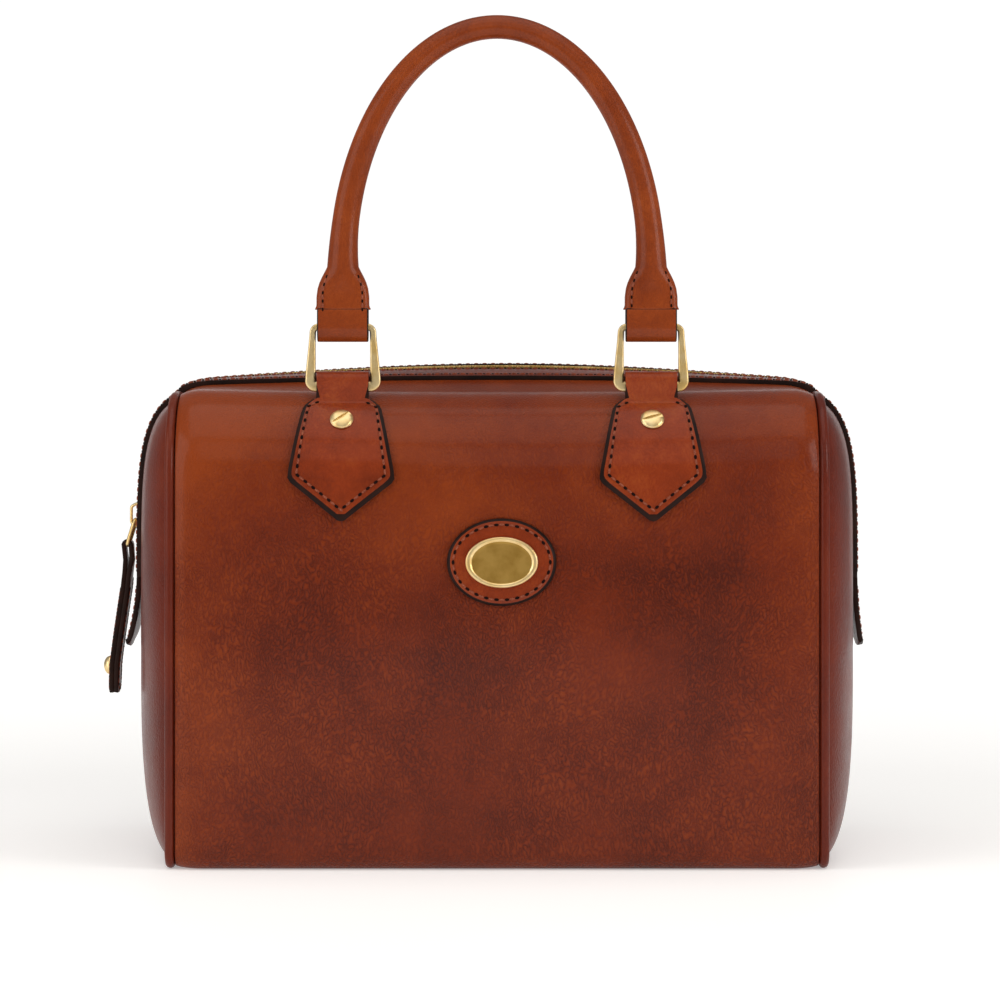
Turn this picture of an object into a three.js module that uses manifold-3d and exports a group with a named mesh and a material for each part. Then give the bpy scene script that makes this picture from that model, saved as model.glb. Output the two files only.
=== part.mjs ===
// Boston bag in glossy leather: hollow body, zip over the top and down both ends, two rolled handles.
// Millimetres, +Z up. The origin is the middle of the base and the front faces -Y.
import * as THREE from 'three';
import { mergeVertices } from 'three/addons/utils/BufferGeometryUtils.js';
import Module from 'manifold-3d';

const wasm = await Module();
wasm.setup();

// General
const gap = 0.3;
const leather = 2.2;

// Body
const halfWidth = 139;
const halfDepth = 82;
const cornerHeight = 205.5;
const cornerRise = 1.5;
const crownHeight = 8.5;
const crownFall = 7;
const topRadius = 34;
const baseRadius = 8;
const bellyOut = 4;
const rollReach = 14;
const rollDrop = 2.5;
const baseRollShare = 0.4;

// Ends
const endBulge = 18;
const bulgeMiddle = 90;
const weltRadius = 1.9;
const weltProud = 0.9;

// Zip
const slitHalf = 7;
const facingInner = 5;
const facingOuter = 21;
const facingThick = 2.2;
const tapeThick = 0.8;
const teethHalf = 2.6;
const teethThick = 1.2;
const zipEndShare = 0.57;

// Zip end tabs
const endTabLong = 31;
const endTabHalf = 15;
const endTabLift = { left: 5.3, right: 2.9 };
const endTabAbove = 6;

// Zip slider and pull
const sliderHeight = 149.6;
const sliderLong = 13;
const sliderHalf = 4.4;
const sliderPlate = 1.2;
const bridgeLong = 11.5;
const bridgeRise = 4.1;
const bridgeWall = 1.2;
const bridgeHalf = 1.5;
const linkLong = 11.8;
const linkHalf = 4.6;
const linkWire = 1;
const linkCorner = 2.2;
const linkTilt = 0.3;
const pullEye = 1.6;
const pullEyeHalf = 3.2;
const pullThick = 4.7;
const pullHalf = 7;
const pullLong = 66.5;
const pullSwing = 5.9;
const rivetRadius = 4.2;
const rivetHeight = 2.6;
const rivetDown = 54.3;

// Handle fittings
const handleSpread = 67;
const loopInner = 2.6;
const loopHalf = 10.7;
const loopAlong = 61.3;
const loopLeave = 50;
const tabLong = 61.5;
const tabHalf = 23.4;
const tabShoulderHalf = 16.5;
const tabTipHalf = 0.8;
const screwRadius = 5;
const screwHeight = 1.9;
const screwDown = 16.5;
const ringTall = 26.1;
const ringHalf = 14.4;
const ringTopHalf = 12.8;
const ringCorner = 3.2;
const ringBar = { half: 1.85, deep: 1.6, cut: 0.7 };

// Handles
const chapeHalf = 10.6;
const chapeWall = 2.4;
const flapFoot = 7.4;
const archFoot = 26;
const archTall = 104.4;
const gripTop = 5.2;
const gripSide = 6.2;
const flapHalf = 11.4;
const flapDeep = 4.7;

// Rest angles in degrees
const rearRingTurn = 95;
const rearHandleTurn = 172;

// Badge
const badgeX = 2;
const badgeHeight = 133;
const patchHalf = { wide: 23.5, tall: 18.75 };
const patchThick = 2;
const plateHalf = { wide: 15.6, tall: 10.9 };
const plateThick = 1.1;
const plateRim = 0.6;

// Shares of the half width where the walls and the zip strips have a station
const widthShares = [0, 0.25, 0.5, 0.7, 0.84, 0.92, 0.97, 1];

// Shares of the height of an end panel where it has a row
const heightShares = [0, 0.02, 0.06, 0.12, 0.2, 0.32, 0.45, 0.57, 0.68, 0.78, 0.86, 0.92, 0.96, 0.985, 0.995, 1];

// Legs of a handle: height as a share of the arch's foot, half width and half depth
// as shares between the flap (0) and the grip (1)
const handleLeg = [
  { up: 0, width: 0, depth: 0 },
  { up: 0.42, width: 0, depth: 0.1 },
  { up: 0.68, width: 0.45, depth: 0.5 },
  { up: 1, width: 0.95, depth: 1 },
];

// Zip end tab: share of the length and share of the half width
const endTabRows = [
  { down: 0, half: 1 },
  { down: 0.3, half: 1 },
  { down: 0.6, half: 0.98 },
  { down: 0.82, half: 0.85 },
  { down: 0.95, half: 0.62 },
  { down: 1, half: 0.4 },
];

// Pull strap: share of the length, share of the swing away from the bag, and half width as
// a share between the eye (0) and the strap (1)
const pullRows = [
  { down: 0.035, out: 0, half: 0 },
  { down: 0.1, out: 0, half: 0 },
  { down: 0.16, out: 0.03, half: 1 },
  { down: 0.37, out: 0.19, half: 1 },
  { down: 0.68, out: 0.51, half: 1 },
  { down: 0.93, out: 0.88, half: 1 },
  { down: 1, out: 1, half: 0.6 },
];

// Sizes that follow from those above
const weltX = halfWidth + gap + weltRadius;
const panelX = weltX;
const panelInset = 2 * weltRadius - weltProud + gap;
const panelDeep = halfDepth - rollDrop - panelInset;
const panelBase = rollDrop * baseRollShare + panelInset;
const panelTop = cornerHeight + cornerRise - rollDrop - panelInset;
const flatTop = halfDepth - topRadius;
const topTurn = topRadius * Math.PI / 2;
const straight = cornerHeight - topRadius - baseRadius;
const baseTurn = baseRadius * Math.PI / 2;
const flatBase = halfDepth - baseRadius;
const halfGirth = flatTop + topTurn + straight + baseTurn + flatBase;
const zipEnd = panelBase + (panelTop - panelBase) * zipEndShare;
const facingEnd = zipEnd + endTabAbove;
const loopOuter = loopInner + leather;
const loopRise = gap + loopOuter;

const finishes = {
  hide: { color: 0x7a3524, roughness: 0.38, metalness: 0 },
  grip: { color: 0x96482b, roughness: 0.42, metalness: 0 },
  trim: { color: 0x5a2a1c, roughness: 0.5, metalness: 0 },
  tape: { color: 0x33231d, roughness: 0.85, metalness: 0 },
  brass: { color: 0xc9a24b, roughness: 0.3, metalness: 1 },
};

const bag = new THREE.Group();

// Meshes
function addPiece(name, geometry, finish, parent = bag) {
  const piece = new THREE.Mesh(geometry, new THREE.MeshStandardMaterial(finishes[finish]));
  piece.name = name;
  parent.add(piece);
  return piece;
}

function signedVolume(positions, triangles) {
  let volume = 0;
  const corner = (index) => new THREE.Vector3().fromArray(positions, index * 3);
  for (let i = 0; i < triangles.length; i += 3) {
    const [a, b, c] = [corner(triangles[i]), corner(triangles[i + 1]), corner(triangles[i + 2])];
    volume += a.dot(b.cross(c));
  }
  return volume / 6;
}

function closedMesh(positions, triangles) {
  const geometry = new THREE.BufferGeometry();
  const outward = signedVolume(positions, triangles) > 0;
  geometry.setAttribute('position', new THREE.Float32BufferAttribute(positions, 3));
  geometry.setIndex(outward ? triangles : triangles.reverse());
  geometry.computeVertexNormals();
  return geometry;
}

// A wall between two grids of points, with a rim wherever a cell of the grid is left out
function wall(rows, columns, outside, inside, kept = () => true) {
  const positions = [];
  const triangles = [];
  const across = columns + 1;
  const layer = (rows + 1) * across;
  for (const surface of [outside, inside]) {
    for (let i = 0; i <= rows; i += 1) {
      for (let j = 0; j <= columns; j += 1) {
        positions.push(...surface(i, j).toArray());
      }
    }
  }
  const quad = (a, b, c, d) => triangles.push(a, b, c, a, c, d);
  const inGrid = (i, j) => i >= 0 && j >= 0 && i < rows && j < columns && kept(i, j);
  for (let i = 0; i < rows; i += 1) {
    for (let j = 0; j < columns; j += 1) {
      if (!inGrid(i, j)) continue;
      const a = i * across + j;
      const [b, c, d] = [a + across, a + across + 1, a + 1];
      quad(a, b, c, d);
      quad(a + layer, d + layer, c + layer, b + layer);
      if (!inGrid(i - 1, j)) quad(a, d, d + layer, a + layer);
      if (!inGrid(i, j - 1)) quad(b, a, a + layer, b + layer);
      if (!inGrid(i + 1, j)) quad(c, b, b + layer, c + layer);
      if (!inGrid(i, j + 1)) quad(d, c, c + layer, d + layer);
    }
  }
  return closedMesh(positions, triangles);
}

// Rings of points joined one to the next, either as a closed loop or with a cap at each end
function tube(rows, sides, point, loop = false) {
  const positions = [];
  const triangles = [];
  const count = loop ? rows : rows + 1;
  for (let i = 0; i < count; i += 1) {
    for (let j = 0; j < sides; j += 1) positions.push(...point(i, j).toArray());
  }
  for (let i = 0; i < rows; i += 1) {
    for (let j = 0; j < sides; j += 1) {
      const a = i * sides + j;
      const b = ((i + 1) % count) * sides + j;
      const c = ((i + 1) % count) * sides + (j + 1) % sides;
      const d = i * sides + (j + 1) % sides;
      triangles.push(a, b, c, a, c, d);
    }
  }
  if (!loop) {
    for (const [row, turned] of [[0, false], [rows, true]]) {
      const middle = new THREE.Vector3();
      for (let j = 0; j < sides; j += 1) middle.add(point(row, j));
      const centre = positions.length / 3;
      positions.push(...middle.divideScalar(sides).toArray());
      for (let j = 0; j < sides; j += 1) {
        const edge = [row * sides + j, row * sides + (j + 1) % sides];
        triangles.push(centre, edge[turned ? 1 : 0], edge[turned ? 0 : 1]);
      }
    }
  }
  return closedMesh(positions, triangles);
}

function toManifold(geometry) {
  const bare = geometry.clone();
  bare.deleteAttribute('normal');
  bare.deleteAttribute('uv');
  const merged = mergeVertices(bare, 1e-4);
  return new wasm.Manifold(new wasm.Mesh({
    numProp: 3,
    vertProperties: new Float32Array(merged.attributes.position.array),
    triVerts: new Uint32Array(merged.index.array),
  }));
}

function fused(first, second) {
  const mesh = toManifold(first).add(toManifold(second)).getMesh();
  return closedMesh(Array.from(mesh.vertProperties), Array.from(mesh.triVerts));
}

// A flat outline in the YZ plane with a thickness along X, centred on X = 0
function slab(shape, half) {
  const geometry = new THREE.ExtrudeGeometry(shape, { depth: 2 * half, bevelEnabled: false, curveSegments: 8 });
  geometry.translate(0, 0, -half);
  const axes = [new THREE.Vector3(0, 1, 0), new THREE.Vector3(0, 0, 1), new THREE.Vector3(1, 0, 0)];
  return geometry.applyMatrix4(new THREE.Matrix4().makeBasis(...axes));
}

// Points of a closed outline with round corners, one corner for each quarter turn
function roundedLoop(half, tall, radius, steps) {
  const points = [];
  const corners = [[half, tall], [-half, tall], [-half, 0], [half, 0]];
  corners.forEach(([x, z], quarter) => {
    const centre = [x - Math.sign(x) * radius, z > 0 ? z - radius : radius];
    for (let step = 0; step <= steps; step += 1) {
      const angle = (quarter + step / steps) * Math.PI / 2;
      points.push([centre[0] + radius * Math.cos(angle), centre[1] + radius * Math.sin(angle)]);
    }
  });
  return points;
}

// Skin of the body
function edgeRoll(x) {
  const reach = Math.max(0, Math.abs(x) - (halfWidth - rollReach)) / rollReach;
  return rollDrop * reach ** 3;
}

// The point of the outer skin at a distance round the section from the top centre line:
// positive round the front, negative round the back
function skinPoint(x, along) {
  const ends = Math.min(1, Math.abs(x) / halfWidth) ** 2;
  const roll = edgeRoll(x);
  const high = cornerHeight + cornerRise * ends - roll;
  const base = roll * baseRollShare;
  const deep = halfDepth - roll;
  const distance = Math.abs(along);
  let y = deep;
  let z = base;
  if (distance <= flatTop) {
    y = distance * (deep - topRadius) / flatTop;
    z = high + (crownHeight - crownFall * ends) * (1 + Math.cos(Math.PI * distance / flatTop)) / 2;
  } else if (distance <= flatTop + topTurn) {
    const angle = (distance - flatTop) / topRadius;
    y = deep - topRadius + topRadius * Math.sin(angle);
    z = high - topRadius + topRadius * Math.cos(angle);
  } else if (distance <= flatTop + topTurn + straight) {
    const share = (distance - flatTop - topTurn) / straight;
    z = THREE.MathUtils.lerp(high - topRadius, base + baseRadius, share);
  } else if (distance <= halfGirth - flatBase) {
    const angle = (distance - flatTop - topTurn - straight) / baseRadius;
    y = deep - baseRadius + baseRadius * Math.cos(angle);
    z = base + baseRadius - baseRadius * Math.sin(angle);
  } else {
    y = (deep - baseRadius) * (halfGirth - distance) / flatBase;
  }
  const belly = bellyOut * (1 - ends) * Math.max(0, Math.sin(Math.PI * z / high));
  return new THREE.Vector3(x, (along < 0 ? 1 : -1) * (y + belly), z);
}

function skinNormal(x, along) {
  const step = 0.2;
  const lengthwise = skinPoint(x + step, along).sub(skinPoint(x - step, along));
  const round = skinPoint(x, along + step).sub(skinPoint(x, along - step));
  return round.cross(lengthwise).normalize();
}

function onSkin(x, along, height) {
  return skinPoint(x, along).addScaledVector(skinNormal(x, along), height);
}

function frontAlong(height) {
  return flatTop + topTurn + cornerHeight - topRadius - height;
}

// Distances round one half of the section, then back up the other half
function roundTheSection(start) {
  const half = [start];
  const spans = [[facingOuter, 1], [flatTop, 2], [flatTop + topTurn, 5], [halfGirth - flatBase - baseTurn, 5],
    [halfGirth - flatBase, 3], [halfGirth, 2]];
  for (const [end, steps] of spans) {
    const from = half[half.length - 1];
    if (end <= from) continue;
    for (let step = 1; step <= steps; step += 1) half.push(THREE.MathUtils.lerp(from, end, step / steps));
  }
  return [...half, ...half.slice(0, -1).reverse().map((distance) => -distance)];
}

function widthStations() {
  const right = widthShares.map((share) => share * halfWidth);
  return [...right.slice(1).reverse().map((x) => -x), ...right];
}

function buildBodyWrap() {
  const around = roundTheSection(slitHalf);
  const across = widthStations();
  const surface = (height) => (i, j) => onSkin(across[j], around[i], height);
  return wall(around.length - 1, across.length - 1, surface(0), surface(-leather));
}

// End panels
function panelHalf(z) {
  const top = topRadius - panelInset;
  const base = baseRadius - panelInset;
  let turned = 0;
  if (z > panelTop - top) turned = top - Math.sqrt(Math.max(0, top ** 2 - (z - panelTop + top) ** 2));
  if (z < panelBase + base) turned = base - Math.sqrt(Math.max(0, base ** 2 - (panelBase + base - z) ** 2));
  return panelDeep - turned;
}

function bulge(y, z) {
  const low = Math.max(0, 1 - Math.abs((bulgeMiddle - z) / (bulgeMiddle - panelBase)) ** 3) ** (1 / 3);
  const high = Math.max(0, 1 - Math.abs((z - bulgeMiddle) / (panelTop - bulgeMiddle)) ** 6) ** 0.5;
  const across = Math.max(0, 1 - Math.abs(y / panelHalf(z)) ** 2.4) ** 0.6;
  return endBulge * across * (z < bulgeMiddle ? low : high);
}

function endPoint(side, y, z) {
  return new THREE.Vector3(side * (panelX + bulge(y, z)), y, z);
}

function panelHeights() {
  return heightShares.map((share) => THREE.MathUtils.lerp(panelBase, panelTop, share));
}

// The panel's inner face is its outer face drawn in towards the bag and towards the middle
function buildEndPanel(side) {
  const heights = panelHeights();
  const shares = [-1, -0.96, -0.85, -0.65, -0.42, -0.2, 0, 0.2, 0.42, 0.65, 0.85, 0.96, 1];
  const columns = shares.length - 1;
  const slitColumn = [5, 6];
  const across = (j, half) => {
    const share = Math.abs(shares[j]);
    const beyond = Math.max(0, share - 0.2) / 0.8;
    return Math.sign(shares[j]) * (share > 0 ? slitHalf + (half - slitHalf) * beyond : 0);
  };
  const outside = (i, j) => endPoint(side, across(j, panelHalf(heights[i])), heights[i]);
  const inside = (i, j) => {
    const point = outside(i, j);
    const middle = (panelBase + panelTop) / 2;
    const thinner = (panelDeep - leather) / panelDeep;
    const slit = Math.abs(shares[j]) <= 0.2;
    return new THREE.Vector3(
      point.x - side * leather,
      slit ? point.y : point.y * thinner,
      middle + (point.z - middle) * (middle - panelBase - leather) / (middle - panelBase),
    );
  };
  const kept = (i, j) => !(slitColumn.includes(j) && (heights[i] + heights[i + 1]) / 2 > zipEnd);
  return wall(heights.length - 1, columns, outside, inside, kept);
}

// Welts along both end seams, open where the zip crosses the seam
function buildWelt(side) {
  const around = roundTheSection(facingOuter + gap + weltRadius);
  const sides = 6;
  const point = (i, j) => {
    const normal = skinNormal(side * halfWidth, around[i]).setX(0).normalize();
    const centre = skinPoint(side * halfWidth, around[i]).addScaledVector(normal, weltProud - weltRadius);
    const angle = 2 * Math.PI * j / sides;
    centre.x = side * (weltX + weltRadius * Math.sin(angle));
    return centre.addScaledVector(normal, weltRadius * Math.cos(angle));
  };
  return tube(around.length - 1, sides, point);
}

// Zip line: up one end, over the top and down the other
function zipLine(lowest) {
  const rows = panelHeights().filter((z) => z > lowest + 1 && z < panelTop - 0.1);
  const end = (side) => [lowest, ...rows].map((z) => (y) => endPoint(side, y, z));
  const top = widthStations().map((x) => (y) => skinPoint(x, -y));
  return [...end(-1), ...top, ...end(1).reverse()];
}

function lineNormal(line, i, y) {
  const [before, after] = [line[Math.max(0, i - 1)], line[Math.min(line.length - 1, i + 1)]];
  const lengthwise = after(y).sub(before(y));
  const sideways = line[i](y + 0.2).sub(line[i](y - 0.2));
  return lengthwise.cross(sideways).normalize();
}

function buildZipStrip(lowest, ys, low, high) {
  const line = zipLine(lowest);
  const surface = (height) => (i, j) => line[i](ys[j]).addScaledVector(lineNormal(line, i, ys[j]), height);
  return wall(line.length - 1, ys.length - 1, surface(high), surface(low));
}

function buildZipTape() {
  const half = slitHalf - gap;
  return buildZipStrip(zipEnd + gap, [-half, 0, half], -tapeThick, 0);
}

function buildZipTeeth() {
  return buildZipStrip(facingEnd, [-teethHalf, 0, teethHalf], gap, gap + teethThick);
}

function buildZipFacing(side) {
  const ys = [facingInner, slitHalf, (slitHalf + facingOuter) / 2, facingOuter].map((y) => side * y);
  return buildZipStrip(facingEnd, ys, gap, gap + facingThick);
}

function buildEndTab(side, lift) {
  const columns = 4;
  const surface = (height) => (i, j) => {
    const row = endTabRows[i];
    const z = facingEnd - gap - row.down * endTabLong;
    const y = endTabHalf * row.half * (2 * j / columns - 1);
    const point = endPoint(side, y, z);
    point.x += side * (height + lift * row.down ** 2);
    return point;
  };
  return wall(endTabRows.length - 1, columns, surface(gap + leather), surface(gap));
}

// Zip slider, on the teeth of the left end
const sliderFoot = panelX + bulge(0, sliderHeight) + 2 * gap + teethThick;
const bridgeFoot = sliderFoot + sliderPlate - gap;
const linkTopX = (sliderFoot + sliderPlate + bridgeFoot + bridgeRise - bridgeWall) / 2;
const linkTopZ = sliderHeight - bridgeLong / 2 + bridgeWall + linkWire + 4 * gap;
const eyeX = linkTopX + linkLong * Math.sin(linkTilt);
const eyeZ = linkTopZ - linkLong * Math.cos(linkTilt);

function buildSlider() {
  const plate = new THREE.Shape();
  plate.moveTo(-sliderHalf * 0.6, -sliderLong / 2);
  plate.lineTo(sliderHalf * 0.6, -sliderLong / 2);
  plate.lineTo(sliderHalf, sliderLong / 4);
  plate.lineTo(sliderHalf * 0.8, sliderLong / 2);
  plate.lineTo(-sliderHalf * 0.8, sliderLong / 2);
  plate.lineTo(-sliderHalf, sliderLong / 4);
  plate.closePath();
  const plateBody = slab(plate, sliderPlate / 2).translate(-sliderFoot - sliderPlate / 2, 0, sliderHeight);
  const bridge = new THREE.Shape();
  const half = bridgeLong / 2;
  bridge.moveTo(-half, 0);
  bridge.lineTo(half, 0);
  bridge.quadraticCurveTo(half, bridgeRise, half / 2, bridgeRise);
  bridge.lineTo(-half / 2, bridgeRise);
  bridge.quadraticCurveTo(-half, bridgeRise, -half, 0);
  const hole = new THREE.Path();
  const inner = half - bridgeWall;
  hole.moveTo(-inner, bridgeWall / 2);
  hole.lineTo(-inner * 0.8, bridgeRise - bridgeWall);
  hole.lineTo(inner * 0.8, bridgeRise - bridgeWall);
  hole.lineTo(inner, bridgeWall / 2);
  hole.closePath();
  bridge.holes.push(hole);
  const arch = slab(bridge, bridgeHalf);
  const axes = [new THREE.Vector3(0, -1, 0), new THREE.Vector3(0, 0, 1), new THREE.Vector3(-1, 0, 0)];
  arch.applyMatrix4(new THREE.Matrix4().makeBasis(...axes));
  arch.translate(-bridgeFoot, 0, sliderHeight);
  return fused(plateBody, arch);
}

function buildPullLink() {
  const outline = roundedLoop(linkHalf, linkLong, linkCorner, 2);
  const sides = 6;
  const point = (i, j) => {
    const before = outline[(i + outline.length - 1) % outline.length];
    const after = outline[(i + 1) % outline.length];
    const normal = new THREE.Vector2(after[1] - before[1], before[0] - after[0]).normalize();
    const angle = 2 * Math.PI * j / sides;
    const across = outline[i][0] + normal.x * linkWire * Math.cos(angle);
    const down = linkLong - outline[i][1] - normal.y * linkWire * Math.cos(angle);
    const out = linkWire * Math.sin(angle);
    return new THREE.Vector3(
      -(linkTopX + down * Math.sin(linkTilt) + out * Math.cos(linkTilt)),
      across,
      linkTopZ - down * Math.cos(linkTilt) + out * Math.sin(linkTilt),
    );
  };
  return tube(outline.length, sides, point, true);
}

function pullPoint(down, out) {
  return new THREE.Vector2(eyeX + pullSwing * out, eyeZ - pullLong * down);
}

function buildPullStrap() {
  const thick = pullThick / 2;
  const point = (i, j) => {
    const row = pullRows[i];
    const centre = pullPoint(row.down, row.out);
    const outward = j === 0 || j === 3 ? 1 : -1;
    const half = THREE.MathUtils.lerp(pullEyeHalf, pullHalf, row.half);
    return new THREE.Vector3(-(centre.x + outward * thick), j < 2 ? half : -half, centre.y);
  };
  const strap = tube(pullRows.length - 1, 4, point);
  const eye = new THREE.Shape();
  eye.absarc(0, 0, pullEye + thick - gap, 0, 2 * Math.PI);
  const hole = new THREE.Path();
  hole.absarc(0, 0, pullEye, 0, 2 * Math.PI);
  eye.holes.push(hole);
  const loop = slab(eye, pullEyeHalf).rotateZ(Math.PI / 2).translate(-eyeX, 0, eyeZ);
  return fused(strap, loop);
}

function domeProfile(radius, height) {
  return [[0, 0], [radius, 0], [radius, height * 0.35], [radius * 0.8, height * 0.72], [radius * 0.45, height * 0.94],
    [0, height]].map(([r, h]) => new THREE.Vector2(r, h));
}

function addDome(name, radius, height, place, axis) {
  const geometry = new THREE.LatheGeometry(domeProfile(radius, height), 14);
  const dome = addPiece(name, geometry, 'brass');
  dome.position.copy(place);
  dome.quaternion.setFromUnitVectors(new THREE.Vector3(0, 1, 0), axis);
}

function addPullRivet() {
  const [upper, lower] = [pullRows[4], pullRows[5]];
  const share = (rivetDown / pullLong - upper.down) / (lower.down - upper.down);
  const top = pullPoint(upper.down, upper.out);
  const foot = pullPoint(lower.down, lower.out);
  const centre = top.clone().lerp(foot, share);
  const run = foot.sub(top).normalize();
  const axis = new THREE.Vector3(run.y, 0, run.x);
  const place = new THREE.Vector3(-centre.x, 0, centre.y).addScaledVector(axis, pullThick / 2 + gap);
  addDome('zip_pull_rivet', rivetRadius, rivetHeight, place, axis);
}

// Handle tabs: a pentagon of leather on the skin, with a loop round the lower bar of the ring.
// Each row gives a distance round the section and a height over the skin, for both faces
function tabRows() {
  const leave = THREE.MathUtils.degToRad(loopLeave);
  const middle = loopInner + leather / 2;
  const lift = loopRise + middle * Math.cos(leave) - gap - leather / 2;
  const join = loopAlong + middle * Math.sin(leave) + lift / Math.tan(leave);
  const tip = loopAlong + tabLong;
  const widest = tip - 0.3 * tabLong;
  const shoulder = join + 1.5;
  const flat = (along, half) => ({ out: [along, gap + leather], inner: [along, gap], half, spread: 1 });
  const rows = [flat(tip, tabTipHalf), flat((tip + widest) / 2, (tabTipHalf + tabHalf) / 2)];
  const steps = 5;
  for (let step = 0; step <= steps; step += 1) {
    const share = step / steps;
    const half = THREE.MathUtils.lerp(tabHalf, tabShoulderHalf, share);
    rows.push(flat(THREE.MathUtils.lerp(widest, shoulder, share), half));
  }
  rows.push(flat(join, loopHalf + 1));
  for (let degrees = loopLeave; degrees >= -220; degrees -= 30) {
    const angle = THREE.MathUtils.degToRad(degrees);
    const turned = (radius) => [loopAlong + radius * Math.sin(angle), loopRise + radius * Math.cos(angle)];
    rows.push({ out: turned(loopOuter), inner: turned(loopInner), half: loopHalf, spread: 0 });
  }
  return rows;
}

function buildTab(side, end) {
  const rows = tabRows();
  const columns = 4;
  const middle = end * handleSpread;
  const surface = (face) => (i, j) => {
    const offset = rows[i].half * (2 * j / columns - 1);
    const [along, height] = rows[i][face];
    const point = onSkin(middle + offset * rows[i].spread, side * along, height);
    point.x = middle + offset;
    return point;
  };
  return wall(rows.length - 1, columns, surface('out'), surface('inner'));
}

function addTabScrew(name, side, end) {
  const along = side * (loopAlong + screwDown);
  const x = end * handleSpread;
  const place = onSkin(x, along, 2 * gap + leather);
  addDome(name, screwRadius, screwHeight, place, skinNormal(x, along));
}

// The hinge line of the rings on one side of the bag
function ringPivot(side) {
  const point = onSkin(handleSpread, side * loopAlong, loopRise);
  return new THREE.Vector3(0, point.y, point.z);
}

// A ring with its lower bar at the origin, standing up
function buildRing() {
  const outline = roundedLoop(ringHalf, ringTall, ringCorner, 2);
  const { half, deep, cut } = ringBar;
  const section = [[half, deep - cut], [half - cut, deep], [cut - half, deep], [-half, deep - cut],
    [-half, cut - deep], [cut - half, -deep], [half - cut, -deep], [half, cut - deep]];
  const narrowing = (z) => THREE.MathUtils.lerp(1, ringTopHalf / ringHalf, z / ringTall);
  const point = (i, j) => {
    const before = outline[(i + outline.length - 1) % outline.length];
    const after = outline[(i + 1) % outline.length];
    const normal = new THREE.Vector2(after[1] - before[1], before[0] - after[0]).normalize();
    const [x, z] = outline[i];
    const [out, thick] = section[j];
    return new THREE.Vector3(x * narrowing(z) + normal.x * out, thick, z + normal.y * out);
  };
  return tube(outline.length, section.length, point, true);
}

// A folded strap that holds the upper bar of a ring, with that bar at the origin
function buildChape() {
  const outer = loopInner + chapeWall;
  const outline = new THREE.Shape();
  outline.moveTo(outer, 0);
  outline.lineTo(outer, flapFoot - gap);
  outline.lineTo(-outer, flapFoot - gap);
  outline.lineTo(-outer, 0);
  outline.absarc(0, 0, outer, Math.PI, 2 * Math.PI);
  const hole = new THREE.Path();
  hole.absarc(0, 0, loopInner, 0, 2 * Math.PI);
  outline.holes.push(hole);
  return slab(outline, chapeHalf);
}

// A rolled handle over the upper bars of its rings, with those bars at the origin
function buildHandle() {
  const stations = handleLeg.map((row) => ({
    x: handleSpread,
    z: THREE.MathUtils.lerp(flapFoot, archFoot, row.up),
    wide: THREE.MathUtils.lerp(flapHalf, gripSide, row.width),
    deep: THREE.MathUtils.lerp(flapDeep, gripSide, row.depth),
    turn: 0,
  }));
  const steps = 16;
  const arch = [];
  for (let step = 1; step < steps; step += 1) {
    const angle = Math.PI * step / steps;
    const grip = THREE.MathUtils.lerp(gripSide, gripTop, Math.sin(angle) ** 0.7);
    arch.push({
      x: handleSpread * Math.cos(angle),
      z: archFoot + archTall * Math.sin(angle),
      wide: grip,
      deep: grip,
      turn: Math.atan2(handleSpread * Math.sin(angle), archTall * Math.cos(angle)),
    });
  }
  const otherLeg = stations.map((station) => ({ ...station, x: -station.x, turn: Math.PI })).reverse();
  const rows = [...stations, ...arch, ...otherLeg];
  const sides = 10;
  const point = (i, j) => {
    const { x, z, wide, deep, turn } = rows[i];
    const angle = 2 * Math.PI * j / sides;
    const out = wide * Math.cos(angle);
    return new THREE.Vector3(x + out * Math.cos(turn), deep * Math.sin(angle), z + out * Math.sin(turn));
  };
  return tube(rows.length - 1, sides, point);
}

// One side's rings, straps and handle, turned away from upright about their hinge lines
function addHandleSet(name, side, ringDegrees, handleDegrees) {
  const rings = new THREE.Group();
  rings.position.copy(ringPivot(side));
  rings.rotation.x = THREE.MathUtils.degToRad(side * ringDegrees);
  bag.add(rings);
  const handle = new THREE.Group();
  handle.position.set(0, 0, ringTall);
  handle.rotation.x = THREE.MathUtils.degToRad(side * (handleDegrees - ringDegrees));
  rings.add(handle);
  for (const [place, end] of [['left', -1], ['right', 1]]) {
    addPiece(`handle_tab_${name}_${place}`, buildTab(side, end), 'hide');
    addTabScrew(`tab_screw_${name}_${place}`, side, end);
    addPiece(`ring_${name}_${place}`, buildRing(), 'brass', rings).position.x = end * handleSpread;
    addPiece(`handle_loop_${name}_${place}`, buildChape(), 'grip', handle).position.x = end * handleSpread;
  }
  addPiece(`handle_${name}`, buildHandle(), 'grip', handle);
}

// Badge: an oval patch with a plain oval plate
function buildOval(half, profile, sides) {
  const along = frontAlong(badgeHeight);
  const point = (i, j) => {
    const [share, height] = profile[i];
    const angle = 2 * Math.PI * j / sides;
    const x = badgeX + half.wide * share * Math.cos(angle);
    return onSkin(x, along - half.tall * share * Math.sin(angle), height);
  };
  return tube(profile.length - 1, sides, point);
}

function buildBadgePatch() {
  const top = gap + patchThick;
  return buildOval(patchHalf, [[0.3, gap], [0.97, gap], [1, gap + patchThick / 2], [0.97, top], [0.3, top]], 24);
}

function buildBadgePlate() {
  const low = 2 * gap + patchThick;
  const field = low + plateThick;
  const rim = field + plateRim;
  return buildOval(plateHalf, [[0.3, low], [1, low], [1, field], [0.95, rim], [0.88, rim], [0.84, field],
    [0.3, field]], 24);
}

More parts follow.
